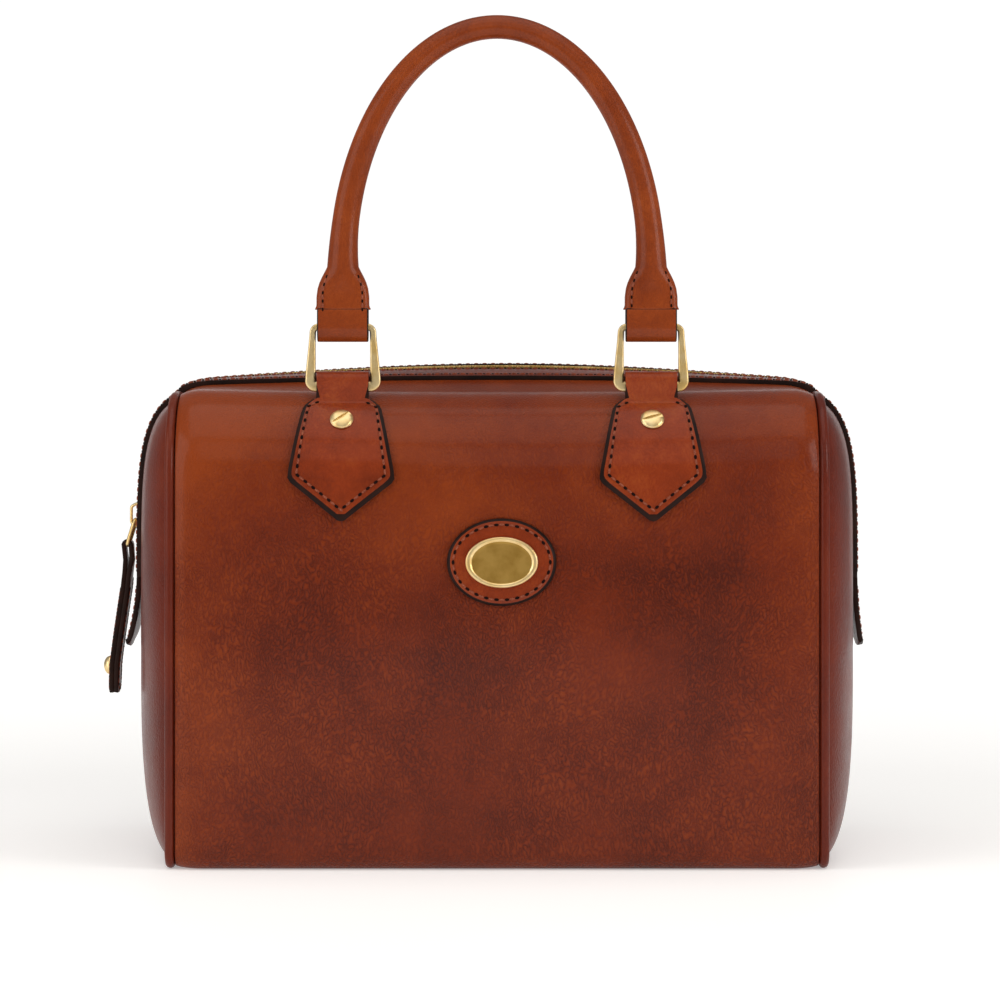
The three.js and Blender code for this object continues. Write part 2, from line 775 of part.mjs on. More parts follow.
addPiece('body_wrap', buildBodyWrap(), 'hide');
addPiece('zip_tape', buildZipTape(), 'tape');
addPiece('zip_teeth', buildZipTeeth(), 'brass');
addPiece('zip_facing_front', buildZipFacing(-1), 'trim');
addPiece('zip_facing_back', buildZipFacing(1), 'trim');
for (const [place, side] of [['left', -1], ['right', 1]]) {
  addPiece(`end_panel_${place}`, buildEndPanel(side), 'hide');
  addPiece(`welt_${place}`, buildWelt(side), 'trim');
  addPiece(`zip_end_tab_${place}`, buildEndTab(side, endTabLift[place]), 'trim');
}
addPiece('zip_slider', buildSlider(), 'brass');
addPiece('zip_pull_link', buildPullLink(), 'brass');
addPiece('zip_pull_strap', buildPullStrap(), 'trim');
addPullRivet();
addHandleSet('front', 1, 0, 0);
addHandleSet('back', -1, rearRingTurn, rearHandleTurn);
addPiece('badge_patch', buildBadgePatch(), 'hide');
addPiece('badge_plate', buildBadgePlate(), 'brass');

export default bag;
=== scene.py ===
"""Looks of a leather boston bag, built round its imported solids.

Sizes are millimetres, and become metres where a mesh gets its points.
"""

import logging
import math
from collections.abc import Callable, Sequence
from dataclasses import dataclass
from enum import Enum

import bpy
from mathutils import Matrix, Vector
from mathutils.kdtree import KDTree


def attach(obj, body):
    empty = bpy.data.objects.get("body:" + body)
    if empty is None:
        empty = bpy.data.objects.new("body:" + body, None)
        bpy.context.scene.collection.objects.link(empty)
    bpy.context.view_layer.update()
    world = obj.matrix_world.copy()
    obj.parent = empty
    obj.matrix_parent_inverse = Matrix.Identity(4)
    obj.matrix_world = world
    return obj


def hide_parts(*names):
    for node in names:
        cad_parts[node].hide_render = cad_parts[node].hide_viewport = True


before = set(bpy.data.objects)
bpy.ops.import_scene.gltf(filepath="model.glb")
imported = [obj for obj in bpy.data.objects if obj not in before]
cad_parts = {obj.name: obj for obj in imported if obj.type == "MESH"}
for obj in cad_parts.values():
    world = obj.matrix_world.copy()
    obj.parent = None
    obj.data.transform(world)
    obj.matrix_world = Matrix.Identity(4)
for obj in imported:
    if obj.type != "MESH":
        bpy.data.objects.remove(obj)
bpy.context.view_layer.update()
LOG = logging.getLogger("boston_bag")

MM = 0.001
# The solids' clearance between pieces that lie on each other, and the thickness of the leather
GAP = 0.3
LEATHER = 2.2

Piece = bpy.types.Object
Material = bpy.types.Material
Tree = bpy.types.NodeTree
Node = bpy.types.Node
Socket = bpy.types.NodeSocket
Inputs = dict[str | int, object]
Pair = tuple[float, float]
Run = Sequence[tuple[Vector, Vector]]
Place = Callable[[float, float], Vector]


class Side(Enum):
    """The two long sides of the bag: positive distances round the section are the front."""

    FRONT = 1
    BACK = -1


class End(Enum):
    """The two short ends of the bag."""

    LEFT = -1
    RIGHT = 1


class Slot(Enum):
    """The record's material slots."""

    BODY = "body_leather"
    TRIM = "trim_leather"
    HANDLE = "handle_leather"
    PATCH = "patch_leather"
    TAPE = "zip_fabric"
    ZIP = "zip_brass"
    HARDWARE = "hardware_brass"


# Numbers


def mix(low: float, high: float, share: float) -> float:
    """Returns the value a share of the way from low to high."""
    return low + (high - low) * share


def ramp(value: float, low: float, high: float) -> float:
    """Returns how far value is from low to high, from 0 to 1, with soft ends."""
    share = min(1.0, max(0.0, (value - low) / (high - low)))
    return share * share * (3 - 2 * share)


def along_table(rows: Sequence[Pair], at: float) -> float:
    """Reads a table of (position, value) rows in rising order.

    Args:
        rows: The table's rows.
        at: The position to read.

    Returns:
        The value there, straight between the rows.
    """
    if at <= rows[0][0]:
        return rows[0][1]
    for (low, first), (high, second) in zip(rows, rows[1:]):
        if at <= high:
            return mix(first, second, (at - low) / (high - low))
    return rows[-1][1]


# Nodes and finishes


def linear(code: str) -> tuple[float, ...]:
    """Returns an sRGB hex colour, such as #7A3524, as linear red, green, blue and alpha."""
    parts = [int(code[i:i + 2], 16) / 255 for i in (1, 3, 5)]
    return (*(c / 12.92 if c <= 0.04045 else ((c + 0.055) / 1.055) ** 2.4 for c in parts), 1.0)


def feed(tree: Tree, node: Node, inputs: Inputs) -> None:
    """Sets a node's inputs.

    Args:
        tree: The node tree.
        node: The node.
        inputs: Socket name or number to a value, or to the output socket that feeds it.
    """
    for socket, value in inputs.items():
        if isinstance(value, Socket):
            tree.links.new(value, node.inputs[socket])
        else:
            node.inputs[socket].default_value = value


def add_node(tree: Tree, kind: str, inputs: Inputs | None = None, **settings: object) -> Node:
    """Adds a node.

    Args:
        tree: The node tree.
        kind: The node's type name after ShaderNode.
        inputs: Its inputs, as feed takes them.
        **settings: Properties of the node itself.

    Returns:
        The new node.
    """
    node = tree.nodes.new(f"ShaderNode{kind}")
    for key, value in settings.items():
        setattr(node, key, value)
    feed(tree, node, inputs or {})
    return node


def add_ramp(tree: Tree, factor: Socket, stops: Sequence[tuple[float, str]]) -> Socket:
    """Adds a colour ramp.

    Args:
        tree: The node tree.
        factor: What drives the ramp.
        stops: Position and hex colour of each stop, in rising order.

    Returns:
        The ramp's colour output.
    """
    node = add_node(tree, "ValToRGB", {"Fac": factor})
    elements = node.color_ramp.elements
    for index, (position, code) in enumerate(stops):
        stop = elements[index] if index < 2 else elements.new(position)
        stop.position = position
        stop.color = linear(code)
    return node.outputs["Color"]


def new_tree(name: str) -> tuple[Material, Tree, Node, Socket]:
    """Makes an empty material.

    Args:
        name: The material's name.

    Returns:
        The material, its node tree, its Principled shader, joined to the output, and its object coordinates.
    """
    material = bpy.data.materials.new(name)
    material.use_nodes = True
    tree = material.node_tree
    tree.nodes.clear()
    shader = add_node(tree, "BsdfPrincipled")
    add_node(tree, "OutputMaterial", {"Surface": shader.outputs["BSDF"]})
    return material, tree, shader, add_node(tree, "TexCoord").outputs["Object"]


@dataclass(frozen=True)
class Leather:
    """Vegetable-tanned cowhide, dyed by hand and glazed.

    That gives cloudy colour, fine pores and soft creases under a gloss. Sizes are millimetres on the hide.
    """

    name: str
    dark: str
    base: str
    light: str
    # The dye's clouds are as wide as the hand that wiped it on, and the mottle in them is a share of that
    cloud: float = 75.0
    mottle: float = 0.22
    # How far creases and pores show, and how much painted shade darkens the creases
    crease: float = 0.7
    pit: float = 0.2
    crease_shade: float = 0.08
    # Real pores and fine creases lie about half as far apart: they are drawn coarser, so that they show
    pore: float = 1.4
    fold: float = 1.3
    # The creases come in patches, bend slowly, slant by these degrees and are drawn out lengthways
    patch: float = 55.0
    bend: float = 60.0
    slant: float = 24.0
    stretch: float = 0.62
    # Depth of a crease and of a pore
    crease_deep: float = 0.45
    pore_deep: float = 0.4
    roughness: float = 0.34
    ior: float = 1.42
    specular: float = 0.12
    coat: float = 0.2
    coat_roughness: float = 0.17
    # Whether the tone gets painted highlights at the top and the seams; it also makes the creases fainter
    # near the top
    shaded: bool = False

    def build(self) -> Material:
        """Builds the material.

        Returns:
            The finished material.
        """
        material, tree, shader, place = new_tree(self.name)
        cloud = self._noise(tree, place, self.cloud, 4.0, 0.6)
        mottle = self._noise(tree, place, self.cloud * self.mottle, 5.0, 0.65)
        tone = self._sum(tree, cloud, 0.74, mottle, 0.26)
        # Painted highlights at the top and the seams
        if self.shaded:
            tone = self._paint_highlights(tree, place, tone)
        folds = self._folds(tree, place)
        # Painted shade: the creases are a little darker too
        tone = self._sum(tree, folds, -self.crease_shade, tone, 1.0)
        gloss = add_node(tree, "MapRange", {
            "Value": mottle, "From Min": 0.3, "From Max": 0.7,
            "To Min": self.roughness - 0.06, "To Max": self.roughness + 0.08})
        feed(tree, shader, {
            "Base Color": add_ramp(tree, tone, [(0.24, self.dark), (0.5, self.base), (0.76, self.light)]),
            "Roughness": gloss.outputs["Result"], "Normal": self._relief(tree, place, folds), "IOR": self.ior,
            "Specular IOR Level": self.specular, "Coat Weight": self.coat,
            "Coat Roughness": self.coat_roughness})
        return material

    def _noise(self, tree: Tree, place: Socket, size: float, detail: float, roughness: float) -> Socket:
        """Returns a cloudy noise with patches of a size in millimetres."""
        inputs = {"Vector": place, "Scale": 1 / (size * MM), "Detail": detail, "Roughness": roughness}
        return add_node(tree, "TexNoise", inputs).outputs["Fac"]

    def _sum(self, tree: Tree, first: Socket, share: float, second: Socket, other: float) -> Socket:
        """Returns the first value times its share plus the second value times its own."""
        scaled = add_node(tree, "Math", {0: second, 1: other}, operation="MULTIPLY").outputs[0]
        return add_node(tree, "Math", {0: first, 1: share, 2: scaled}, operation="MULTIPLY_ADD").outputs[0]

    def _paint_highlights(self, tree: Tree, place: Socket, tone: Socket) -> Socket:
        """Lightens the tone towards the top and the seams with painted highlights, where the wall turns up
        towards the top lamp and rolls back at the end seams.

        Args:
            tree: The node tree.
            place: Object coordinates.
            tone: The tone.

        Returns:
            The lightened tone.
        """
        axes = add_node(tree, "SeparateXYZ", {"Vector": place})
        # Painted highlight: lighter towards the top, where the wall turns up towards the top lamp
        top = add_node(tree, "MapRange", {
            "Value": axes.outputs["Z"], "From Min": 130 * MM, "From Max": 205 * MM,
            "To Min": 0.0, "To Max": 0.13})
        # Painted highlight: lighter near the end seams, where the wall rolls back
        wide = add_node(tree, "Math", {0: axes.outputs["X"]}, operation="ABSOLUTE").outputs[0]
        edge = add_node(tree, "MapRange", {
            "Value": wide, "From Min": 100 * MM, "From Max": 140 * MM, "To Min": 0.0, "To Max": 0.1})
        first = self._sum(tree, tone, 1.0, top.outputs["Result"], 1.0)
        both = self._sum(tree, first, 1.0, edge.outputs["Result"], 1.0)
        # A little darker to the right, and lighter to the left
        leaned = self._sum(tree, axes.outputs["X"], -0.4, both, 1.0)
        return add_node(tree, "Math", {0: leaned, 1: 0.06}, operation="ADD").outputs[0]

    def _folds(self, tree: Tree, place: Socket) -> Socket:
        """Draws the creases, which come in patches.

        Args:
            tree: The node tree.
            place: Object coordinates.

        Returns:
            Depth of the creases.
        """
        where = add_node(tree, "MapRange", {
            "Value": self._noise(tree, place, self.patch, 2.0, 0.5),
            "From Min": 0.36, "From Max": 0.56, "To Min": 0.5, "To Max": 1.0}).outputs["Result"]
        if self.shaded:
            # Near the top the glaze is thicker, and the creases are fainter
            high = add_node(tree, "SeparateXYZ", {"Vector": place}).outputs["Z"]
            calm = add_node(tree, "MapRange", {
                "Value": high, "From Min": 125 * MM, "From Max": 190 * MM, "To Min": 1.0, "To Max": 0.3})
            where = add_node(tree, "Math", {0: where, 1: calm.outputs["Result"]},
                             operation="MULTIPLY").outputs[0]
        # The creases run down and slightly across, and bend with a slow noise
        bend = add_node(tree, "TexNoise", {"Vector": place, "Scale": 1 / (self.bend * MM), "Detail": 1.0})
        warp = add_node(tree, "VectorMath", {0: bend.outputs["Color"], 1: (22 * MM, 0.0, 14 * MM)},
                        operation="MULTIPLY")
        moved = add_node(tree, "VectorMath", {0: place, 1: warp.outputs[0]}, operation="ADD")
        slanted = add_node(tree, "Mapping", {
            "Vector": moved.outputs[0], "Rotation": (0.0, math.radians(self.slant), 0.0),
            "Scale": (1.0, 1.0, self.stretch)})
        creases = add_node(tree, "TexNoise", {
            "Vector": slanted.outputs["Vector"], "Scale": 1 / (self.fold * MM), "Detail": 3.0,
            "Roughness": 0.65, "Offset": 0.85, "Gain": 1.4}, noise_type="RIDGED_MULTIFRACTAL")
        whole = add_node(tree, "Math", {0: creases.outputs["Fac"], 1: where}, operation="MULTIPLY")
        return whole.outputs[0]

    def _relief(self, tree: Tree, place: Socket, folds: Socket) -> Socket:
        """Turns creases and pores to a relief.

        Args:
            tree: The node tree.
            place: Object coordinates.
            folds: Depth of the creases.

        Returns:
            The normal.
        """
        pores = add_node(tree, "TexVoronoi", {
            "Vector": place, "Scale": 1 / (self.pore * MM), "Randomness": 1.0}, feature="DISTANCE_TO_EDGE")
        low = add_node(tree, "Bump", {
            "Strength": self.crease, "Distance": self.crease_deep * MM, "Height": folds}, invert=True)
        fine = add_node(tree, "Bump", {
            "Strength": self.pit, "Distance": self.pore_deep * MM, "Height": pores.outputs["Distance"],
            "Normal": low.outputs["Normal"]})
        return fine.outputs["Normal"]


@dataclass(frozen=True)
class EdgePaint:
    """Cut edge sealed with several coats of dark paint: a smooth, slightly shiny bead."""

    name: str = "edge_paint"
    colour: str = "#190B07"
    worn: str = "#2A140C"
    roughness: float = 0.42
    # Worn spots are about this many millimetres wide
    wear: float = 9.0

    def build(self) -> Material:
        """Builds the material.

        Returns:
            The finished material.
        """
        material, tree, shader, place = new_tree(self.name)
        wear = add_node(tree, "TexNoise", {
            "Vector": place, "Scale": 1 / (self.wear * MM), "Detail": 4.0}).outputs["Fac"]
        bump = add_node(tree, "Bump", {"Strength": 0.15, "Distance": 0.3 * MM, "Height": wear})
        feed(tree, shader, {
            "Base Color": add_ramp(tree, wear, [(0.35, self.colour), (0.7, self.worn)]),
            "Normal": bump.outputs["Normal"], "Roughness": self.roughness, "Specular IOR Level": 0.12})
        return material


@dataclass(frozen=True)
class Thread:
    """Waxed polyester thread, twisted: dull, with the twist as fine stripes across each stitch."""

    name: str = "waxed_thread"
    colour: str = "#6A2A16"
    light: str = "#A0563A"
    # The twist of a 1 mm thread, in millimetres
    twist: float = 0.5

    def build(self) -> Material:
        """Builds the material.

        Returns:
            The finished material.
        """
        material, tree, shader, place = new_tree(self.name)
        twist = add_node(tree, "TexNoise", {
            "Vector": place, "Scale": 1 / (self.twist * MM), "Detail": 2.0}).outputs["Fac"]
        bump = add_node(tree, "Bump", {"Strength": 0.4, "Distance": 0.2 * MM, "Height": twist})
        feed(tree, shader, {
            "Base Color": add_ramp(tree, twist, [(0.3, self.colour), (0.75, self.light)]),
            "Normal": bump.outputs["Normal"], "Roughness": 0.6, "Specular IOR Level": 0.25})
        return material


@dataclass(frozen=True)
class Brass:
    """Solid brass, cast and tumbled to a satin: warm yellow with faint clouding from handling."""

    name: str
    base: str = "#F0D7A2"
    dark: str = "#DDB974"
    roughness: float = 0.36
    # Widths in millimetres of a finger's clouds and of the tumbling grit's marks
    cloud: float = 7.0
    grit: float = 0.6

    def build(self) -> Material:
        """Builds the material.

        Returns:
            The finished material.
        """
        material, tree, shader, place = new_tree(self.name)
        cloud = add_node(tree, "TexNoise", {
            "Vector": place, "Scale": 1 / (self.cloud * MM), "Detail": 5.0}).outputs["Fac"]
        grit = add_node(tree, "TexNoise", {
            "Vector": place, "Scale": 1 / (self.grit * MM), "Detail": 3.0}).outputs["Fac"]
        gloss = add_node(tree, "MapRange", {
            "Value": cloud, "To Min": self.roughness + 0.1, "To Max": self.roughness - 0.06})
        bump = add_node(tree, "Bump", {"Strength": 0.08, "Distance": 0.1 * MM, "Height": grit})
        feed(tree, shader, {
            "Base Color": add_ramp(tree, cloud, [(0.3, self.dark), (0.6, self.base)]),
            "Roughness": gloss.outputs["Result"], "Normal": bump.outputs["Normal"], "Metallic": 1.0})
        return material


@dataclass(frozen=True)
class ZipTape:
    """Cotton zip tape, woven in a fine herringbone: matt and dark, with a rib every 0.7 mm."""

    name: str = "woven_tape"
    colour: str = "#2A1C17"
    light: str = "#46322A"
    rib: float = 0.7

    def build(self) -> Material:
        """Builds the material.

        Returns:
            The finished material.
        """
        material, tree, shader, place = new_tree(self.name)
        # The wave node's diagonal bands come out about twice as wide as the real rib, so that they show
        weave = add_node(tree, "TexWave", {
            "Vector": place, "Scale": 1 / (self.rib * MM) / 6.28, "Distortion": 0.6},
            bands_direction="DIAGONAL").outputs["Fac"]
        bump = add_node(tree, "Bump", {"Strength": 0.5, "Distance": 0.25 * MM, "Height": weave})
        feed(tree, shader, {
            "Base Color": add_ramp(tree, weave, [(0.2, self.colour), (0.9, self.light)]),
            "Normal": bump.outputs["Normal"], "Roughness": 0.88})
        return material


class Finishes:
    """Every material of the bag, built once."""

    def __init__(self) -> None:
        """Builds the materials."""
        self.body = Leather("glazed_hide", "#4E1706", "#6E260A", "#883810", crease=1.0, crease_shade=0.2, pit=0.5,
                            shaded=True).build()
        self.panel = Leather("end_hide", "#4A160C", "#642211", "#763018", crease=0.3).build()
        self.trim = Leather("strip_hide", "#4F2017", "#6E3022", "#834031", cloud=40, crease=0.25).build()
        self.handle = Leather("rolled_hide", "#6E2B11", "#883A14", "#A04C1C", cloud=34, crease=0.3,
                              roughness=0.4).build()
        self.patch = Leather("patch_hide", "#68240D", "#853212", "#9C491C", cloud=26, crease=0.3).build()
        self.paint = EdgePaint().build()
        self.thread = Thread().build()
        # The awl's holes: flat dark marks of painted shade, in a near-black like edge paint
        self.hole_shade = EdgePaint("painted_hole_shade", "#120604", "#1C0A06", 0.9).build()
        self.tape = ZipTape().build()
        self.teeth = Brass("zip_brass", "#E0C07E", "#B8924A", 0.28).build()
        self.brass = Brass("satin_brass").build()
        self.antique = Brass("aged_brass", "#B8934C", "#9C7836", 0.42).build()
        # A piece's leather, or its thread, comes first, and its edge paint, or the painted shade of the awl's
        # holes, second
        self.edged_trim = [self.trim, self.paint]
        self.edged_handle = [self.handle, self.paint]
        self.edged_patch = [self.patch, self.paint]
        self.stitched = [self.thread, self.hole_shade]


# Meshes


def make_active(piece: Piece) -> None:
    """Selects one object alone and makes it active.

    Args:
        piece: The object.
    """
    if bpy.context.object and bpy.context.object.mode != "OBJECT":
        bpy.ops.object.mode_set(mode="OBJECT")
    bpy.ops.object.select_all(action="DESELECT")
    piece.select_set(True)
    bpy.context.view_layer.objects.active = piece


def edit(piece: Piece, *steps: Callable[[], object],
         chosen: Callable[[Vector], bool] | None = None) -> None:
    """Runs operators on a piece in edit mode.

    Args:
        piece: The object.
        *steps: The operators, each a call with no arguments.
        chosen: A test of a face's middle; all faces are selected if it is left out.
    """
    make_active(piece)
    bpy.ops.object.mode_set(mode="EDIT")
    bpy.ops.mesh.select_mode(type="FACE")
    bpy.ops.mesh.select_all(action="DESELECT" if chosen else "SELECT")
    if chosen:
        bpy.ops.object.mode_set(mode="OBJECT")
        for face in piece.data.polygons:
            face.select = chosen(face.center)
        bpy.ops.object.mode_set(mode="EDIT")
    for step in steps:
        step()
    bpy.ops.object.mode_set(mode="OBJECT")


def merge_close() -> None:
    """Merges the selected points that lie on each other."""
    bpy.ops.mesh.remove_doubles(threshold=0.01 * MM)


def face_outwards() -> None:
    """Turns the selected faces outwards on a closed mesh."""
    bpy.ops.mesh.normals_make_consistent(inside=False)


def apply_modifier(piece: Piece, kind: str, **settings: object) -> None:
    """Adds a modifier with its settings and applies it.

    Args:
        piece: The object.
        kind: The modifier's type.
        **settings: Its properties.
    """
    modifier = piece.modifiers.new(kind.lower(), kind)
    for key, value in settings.items():
        setattr(modifier, key, value)
    make_active(piece)
    bpy.ops.object.modifier_apply(modifier=modifier.name)


def close_ends(piece: Piece) -> None:
    """Caps the open rims of a tube and turns its faces outwards."""
    edit(piece, select_rim, bpy.ops.mesh.edge_face_add)
    edit(piece, face_outwards)


def from_points(name: str, points: Sequence[Vector], faces: Sequence[Sequence[int]],
                edges: Sequence[tuple[int, int]] = ()) -> Piece:
    """Makes an object from points.

    Args:
        name: The new object's name.
        points: The points in metres.
        faces: The points' numbers round each face.
        edges: The points' numbers at the ends of each loose edge.

    Returns:
        The new object.
    """
    mesh = bpy.data.meshes.new(name)
    mesh.from_pydata(points, edges, faces)
    piece = bpy.data.objects.new(name, mesh)
    bpy.context.scene.collection.objects.link(piece)
    return piece


def laid_grid(name: str, columns: int, rows: int, place: Place, outward: Vector | None = None) -> Piece:
    """Adds a grid and lays its points on a surface.

    Args:
        name: The new object's name.
        columns: Faces along the first coordinate.
        rows: Faces along the second coordinate.
        place: Gives the point in millimetres for two coordinates from -1 to 1.
        outward: Roughly where the face at the grid's middle looks, for an open sheet.

    Returns:
        The new object, with doubled points merged.
    """
    bpy.ops.object.select_all(action="DESELECT")
    bpy.ops.mesh.primitive_grid_add(x_subdivisions=columns, y_subdivisions=rows, size=2, calc_uvs=True)
    piece = bpy.context.active_object
    piece.name = name
    piece.data.name = name
    for point in piece.data.vertices:
        point.co = place(point.co.x, point.co.y) * MM
    edit(piece, merge_close)
    if outward is None:
        edit(piece, face_outwards)
    else:
        middle = piece.data.polygons[len(piece.data.polygons) // 2 + columns // 2]
        if middle.normal.dot(outward) < 0:
            edit(piece, bpy.ops.mesh.flip_normals)
    return piece


def dress(piece: Piece, materials: Sequence[Material]) -> None:
    """Gives a piece its materials and keeps each face's slot number.

    Args:
        piece: The object.
        materials: Its materials in slot order.
    """
    indexes = [face.material_index for face in piece.data.polygons]
    piece.data.materials.clear()
    for material in materials:
        piece.data.materials.append(material)
    for face, index in zip(piece.data.polygons, indexes):
        face.material_index = min(index, len(materials) - 1)


def paint_faces(piece: Piece, second: Callable[[bpy.types.MeshPolygon], bool]) -> None:
    """Splits a piece's faces between two material slots.

    Args:
        piece: The object.
        second: A test, passed by the faces that take the second slot.
    """
    while len(piece.data.materials) < 2:
        piece.data.materials.append(None)
    for face in piece.data.polygons:
        face.material_index = 1 if second(face) else 0


def thicken(piece: Piece, materials: Sequence[Material], thickness: float = LEATHER,
            edge: float = 0.5, segments: int = 2) -> None:
    """Gives an open sheet its thickness inwards and rounds its cut edges.

    Args:
        piece: The sheet.
        materials: The material of its faces, then that of its cut edges.
        thickness: The wall in millimetres.
        edge: The rounding of the cut edges in millimetres.
        segments: Faces across each rounding.
    """
    dress(piece, materials)
    apply_modifier(piece, "SOLIDIFY", thickness=thickness * MM, offset=-1, use_even_offset=True,
                   use_rim=True, material_offset_rim=1)
    if edge <= 0:
        return
    sheet = [face for face in piece.data.polygons if face.material_index == 0]
    normals = [face.normal.copy() for face in sheet]
    nearest = KDTree(len(sheet))
    for index, face in enumerate(sheet):
        nearest.insert(face.center, index)
    nearest.balance()
    apply_modifier(piece, "BEVEL", width=edge * MM, segments=segments, limit_method="ANGLE",
                   angle_limit=math.radians(50), miter_outer="MITER_ARC")
    for face in piece.data.polygons:
        if face.normal.dot(normals[nearest.find(face.center)[1]]) < 0.972:
            face.material_index = 1


def joined(name: str, pieces: Sequence[Piece]) -> Piece:
    """Joins several objects into the first and names it.

    Args:
        name: The joined object's name.
        pieces: The objects.

    Returns:
        The first object.
    """
    make_active(pieces[0])
    for piece in pieces:
        piece.select_set(True)
    bpy.ops.object.join()
    pieces[0].name = name
    return pieces[0]


def finish_piece(piece: Piece, body: str, materials: Sequence[Material],
                 replaced: Sequence[str] = (), smooth: float = 40) -> None:
    """Dresses a piece and ties it to the frame.

    Args:
        piece: The object.
        body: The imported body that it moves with.
        materials: Its materials in slot order.
        replaced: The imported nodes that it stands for.
        smooth: Edges under this many degrees are shaded smooth.
    """
    dress(piece, materials)
    make_active(piece)
    bpy.ops.object.shade_smooth_by_angle(angle=math.radians(smooth))
    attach(piece, body)
    if replaced:
        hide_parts(*replaced)
    LOG.info("%s: %d faces on %s", piece.name, len(piece.data.polygons), body)


# Stitches


@dataclass(frozen=True)
class Seam:
    """A row of stitches: one small spindle of thread and one flat dark mark of painted shade where the thread
    dives into the leather, copied along a path.
    """

    pitch: float = 4.2
    length: float = 2.5
    width: float = 1.15
    # Length and width of the flat dark marks of painted shade at the awl's holes
    hole_shade: float = 2.0
    hole_shade_width: float = 1.45

    def build(self, name: str, paths: Sequence[Run], loop: bool = False) -> Piece:
        """Builds the row.

        Args:
            name: The new object's name.
            paths: Points with their normals, in millimetres, along each run of stitches.
            loop: Whether each run closes on itself.

        Returns:
            One mesh of all the stitches, with the holes' painted shade in the second material slot.
        """
        bpy.ops.object.select_all(action="DESELECT")
        bpy.ops.mesh.primitive_uv_sphere_add(segments=6, ring_count=5, radius=0.5)
        ball = bpy.context.active_object
        spindle = [Vector((p.co.z * self.length, p.co.x * self.width, p.co.y * self.width * 0.8)) * MM
                   for p in ball.data.vertices]
        # The mark at each of the awl's holes: a flat dark disc of painted shade
        hole_shade_shape = [Vector((p.co.z * self.hole_shade, p.co.x * self.hole_shade_width, p.co.y * 0.5)) * MM
                  for p in ball.data.vertices]
        faces = [list(face.vertices) for face in ball.data.polygons]
        bpy.data.objects.remove(ball)
        points, loops, kinds = [], [], []
        for path in paths:
            for shape, shift, kind in ((spindle, 0.5, 0), (hole_shade_shape, 0.0, 1)):
                for matrix in self._steps(path, loop, shift):
                    start = len(points)
                    points += [matrix @ corner for corner in shape]
                    loops += [[start + index for index in face] for face in faces]
                    kinds += [kind] * len(faces)
        piece = from_points(name, points, loops)
        paint_faces(piece, lambda face: kinds[face.index] == 1)
        edit(piece, face_outwards)
        return piece

    def _steps(self, path: Run, loop: bool, shift: float) -> list[Matrix]:
        """Spaces the stitches or holes of a run.

        Args:
            path: Points with their normals.
            loop: Whether the run closes on itself.
            shift: Share of the pitch before the first.

        Returns:
            A placing matrix for each.
        """
        lengths = [0.0]
        for (first, _), (second, _) in zip(path, path[1:]):
            lengths.append(lengths[-1] + (second - first).length)
        total = lengths[-1]
        count = max(1, round(total / self.pitch))
        placed = []
        for number in range(count if loop or shift else count + 1):
            at = min(total, total * (number + shift) / count)
            index = next((i for i in range(len(path) - 1) if lengths[i + 1] >= at), len(path) - 2)
            (first, normal), (second, other) = path[index], path[index + 1]
            span = max(1e-6, lengths[index + 1] - lengths[index])
            share = (at - lengths[index]) / span
            run = (second - first).normalized()
            up = normal.lerp(other, share).normalized()
            side = up.cross(run).normalized()
            up = run.cross(side)
            turn = Matrix((run, side, up)).transposed().to_4x4()
            placed.append(Matrix.Translation(first.lerp(second, share) * MM) @ turn)
        return placed


def dotted(corners: Sequence[Pair], steps: int) -> list[Pair]:
    """Gives points along the straight lines between corners.

    Args:
        corners: The corners in order.
        steps: Points on each line, of which the first lies in its corner.

    Returns:
        The points; the last corner is left out.
    """
    spots = []
    for (ax, ay), (bx, by) in zip(corners, corners[1:]):
        spots += [(mix(ax, bx, step / steps), mix(ay, by, step / steps)) for step in range(steps)]
    return spots


def inset_path(points: Sequence[Pair], distance: float) -> list[Pair]:
    """Moves an open outline inwards.

    Args:
        points: The outline, run so that its inside lies on the left.
        distance: How far in.

    Returns:
        The moved points, one for each point given.
    """
    lines = []
    for (ax, ay), (bx, by) in zip(points, points[1:]):
        run = Vector((bx - ax, by - ay)).normalized()
        left = Vector((-run.y, run.x)) * distance
        lines.append((Vector((ax, ay)) + left, run))
    moved = [lines[0][0]]
    for (start, run), (other, turn) in zip(lines, lines[1:]):
        cross = run.x * turn.y - run.y * turn.x
        gap = other - start
        moved.append(start + run * ((gap.x * turn.y - gap.y * turn.x) / cross))
    last = Vector(points[-1])
    start, run = lines[-1]
    moved.append(start + run * (last - start).dot(run))
    return [(p.x, p.y) for p in moved]


# The bag's shape


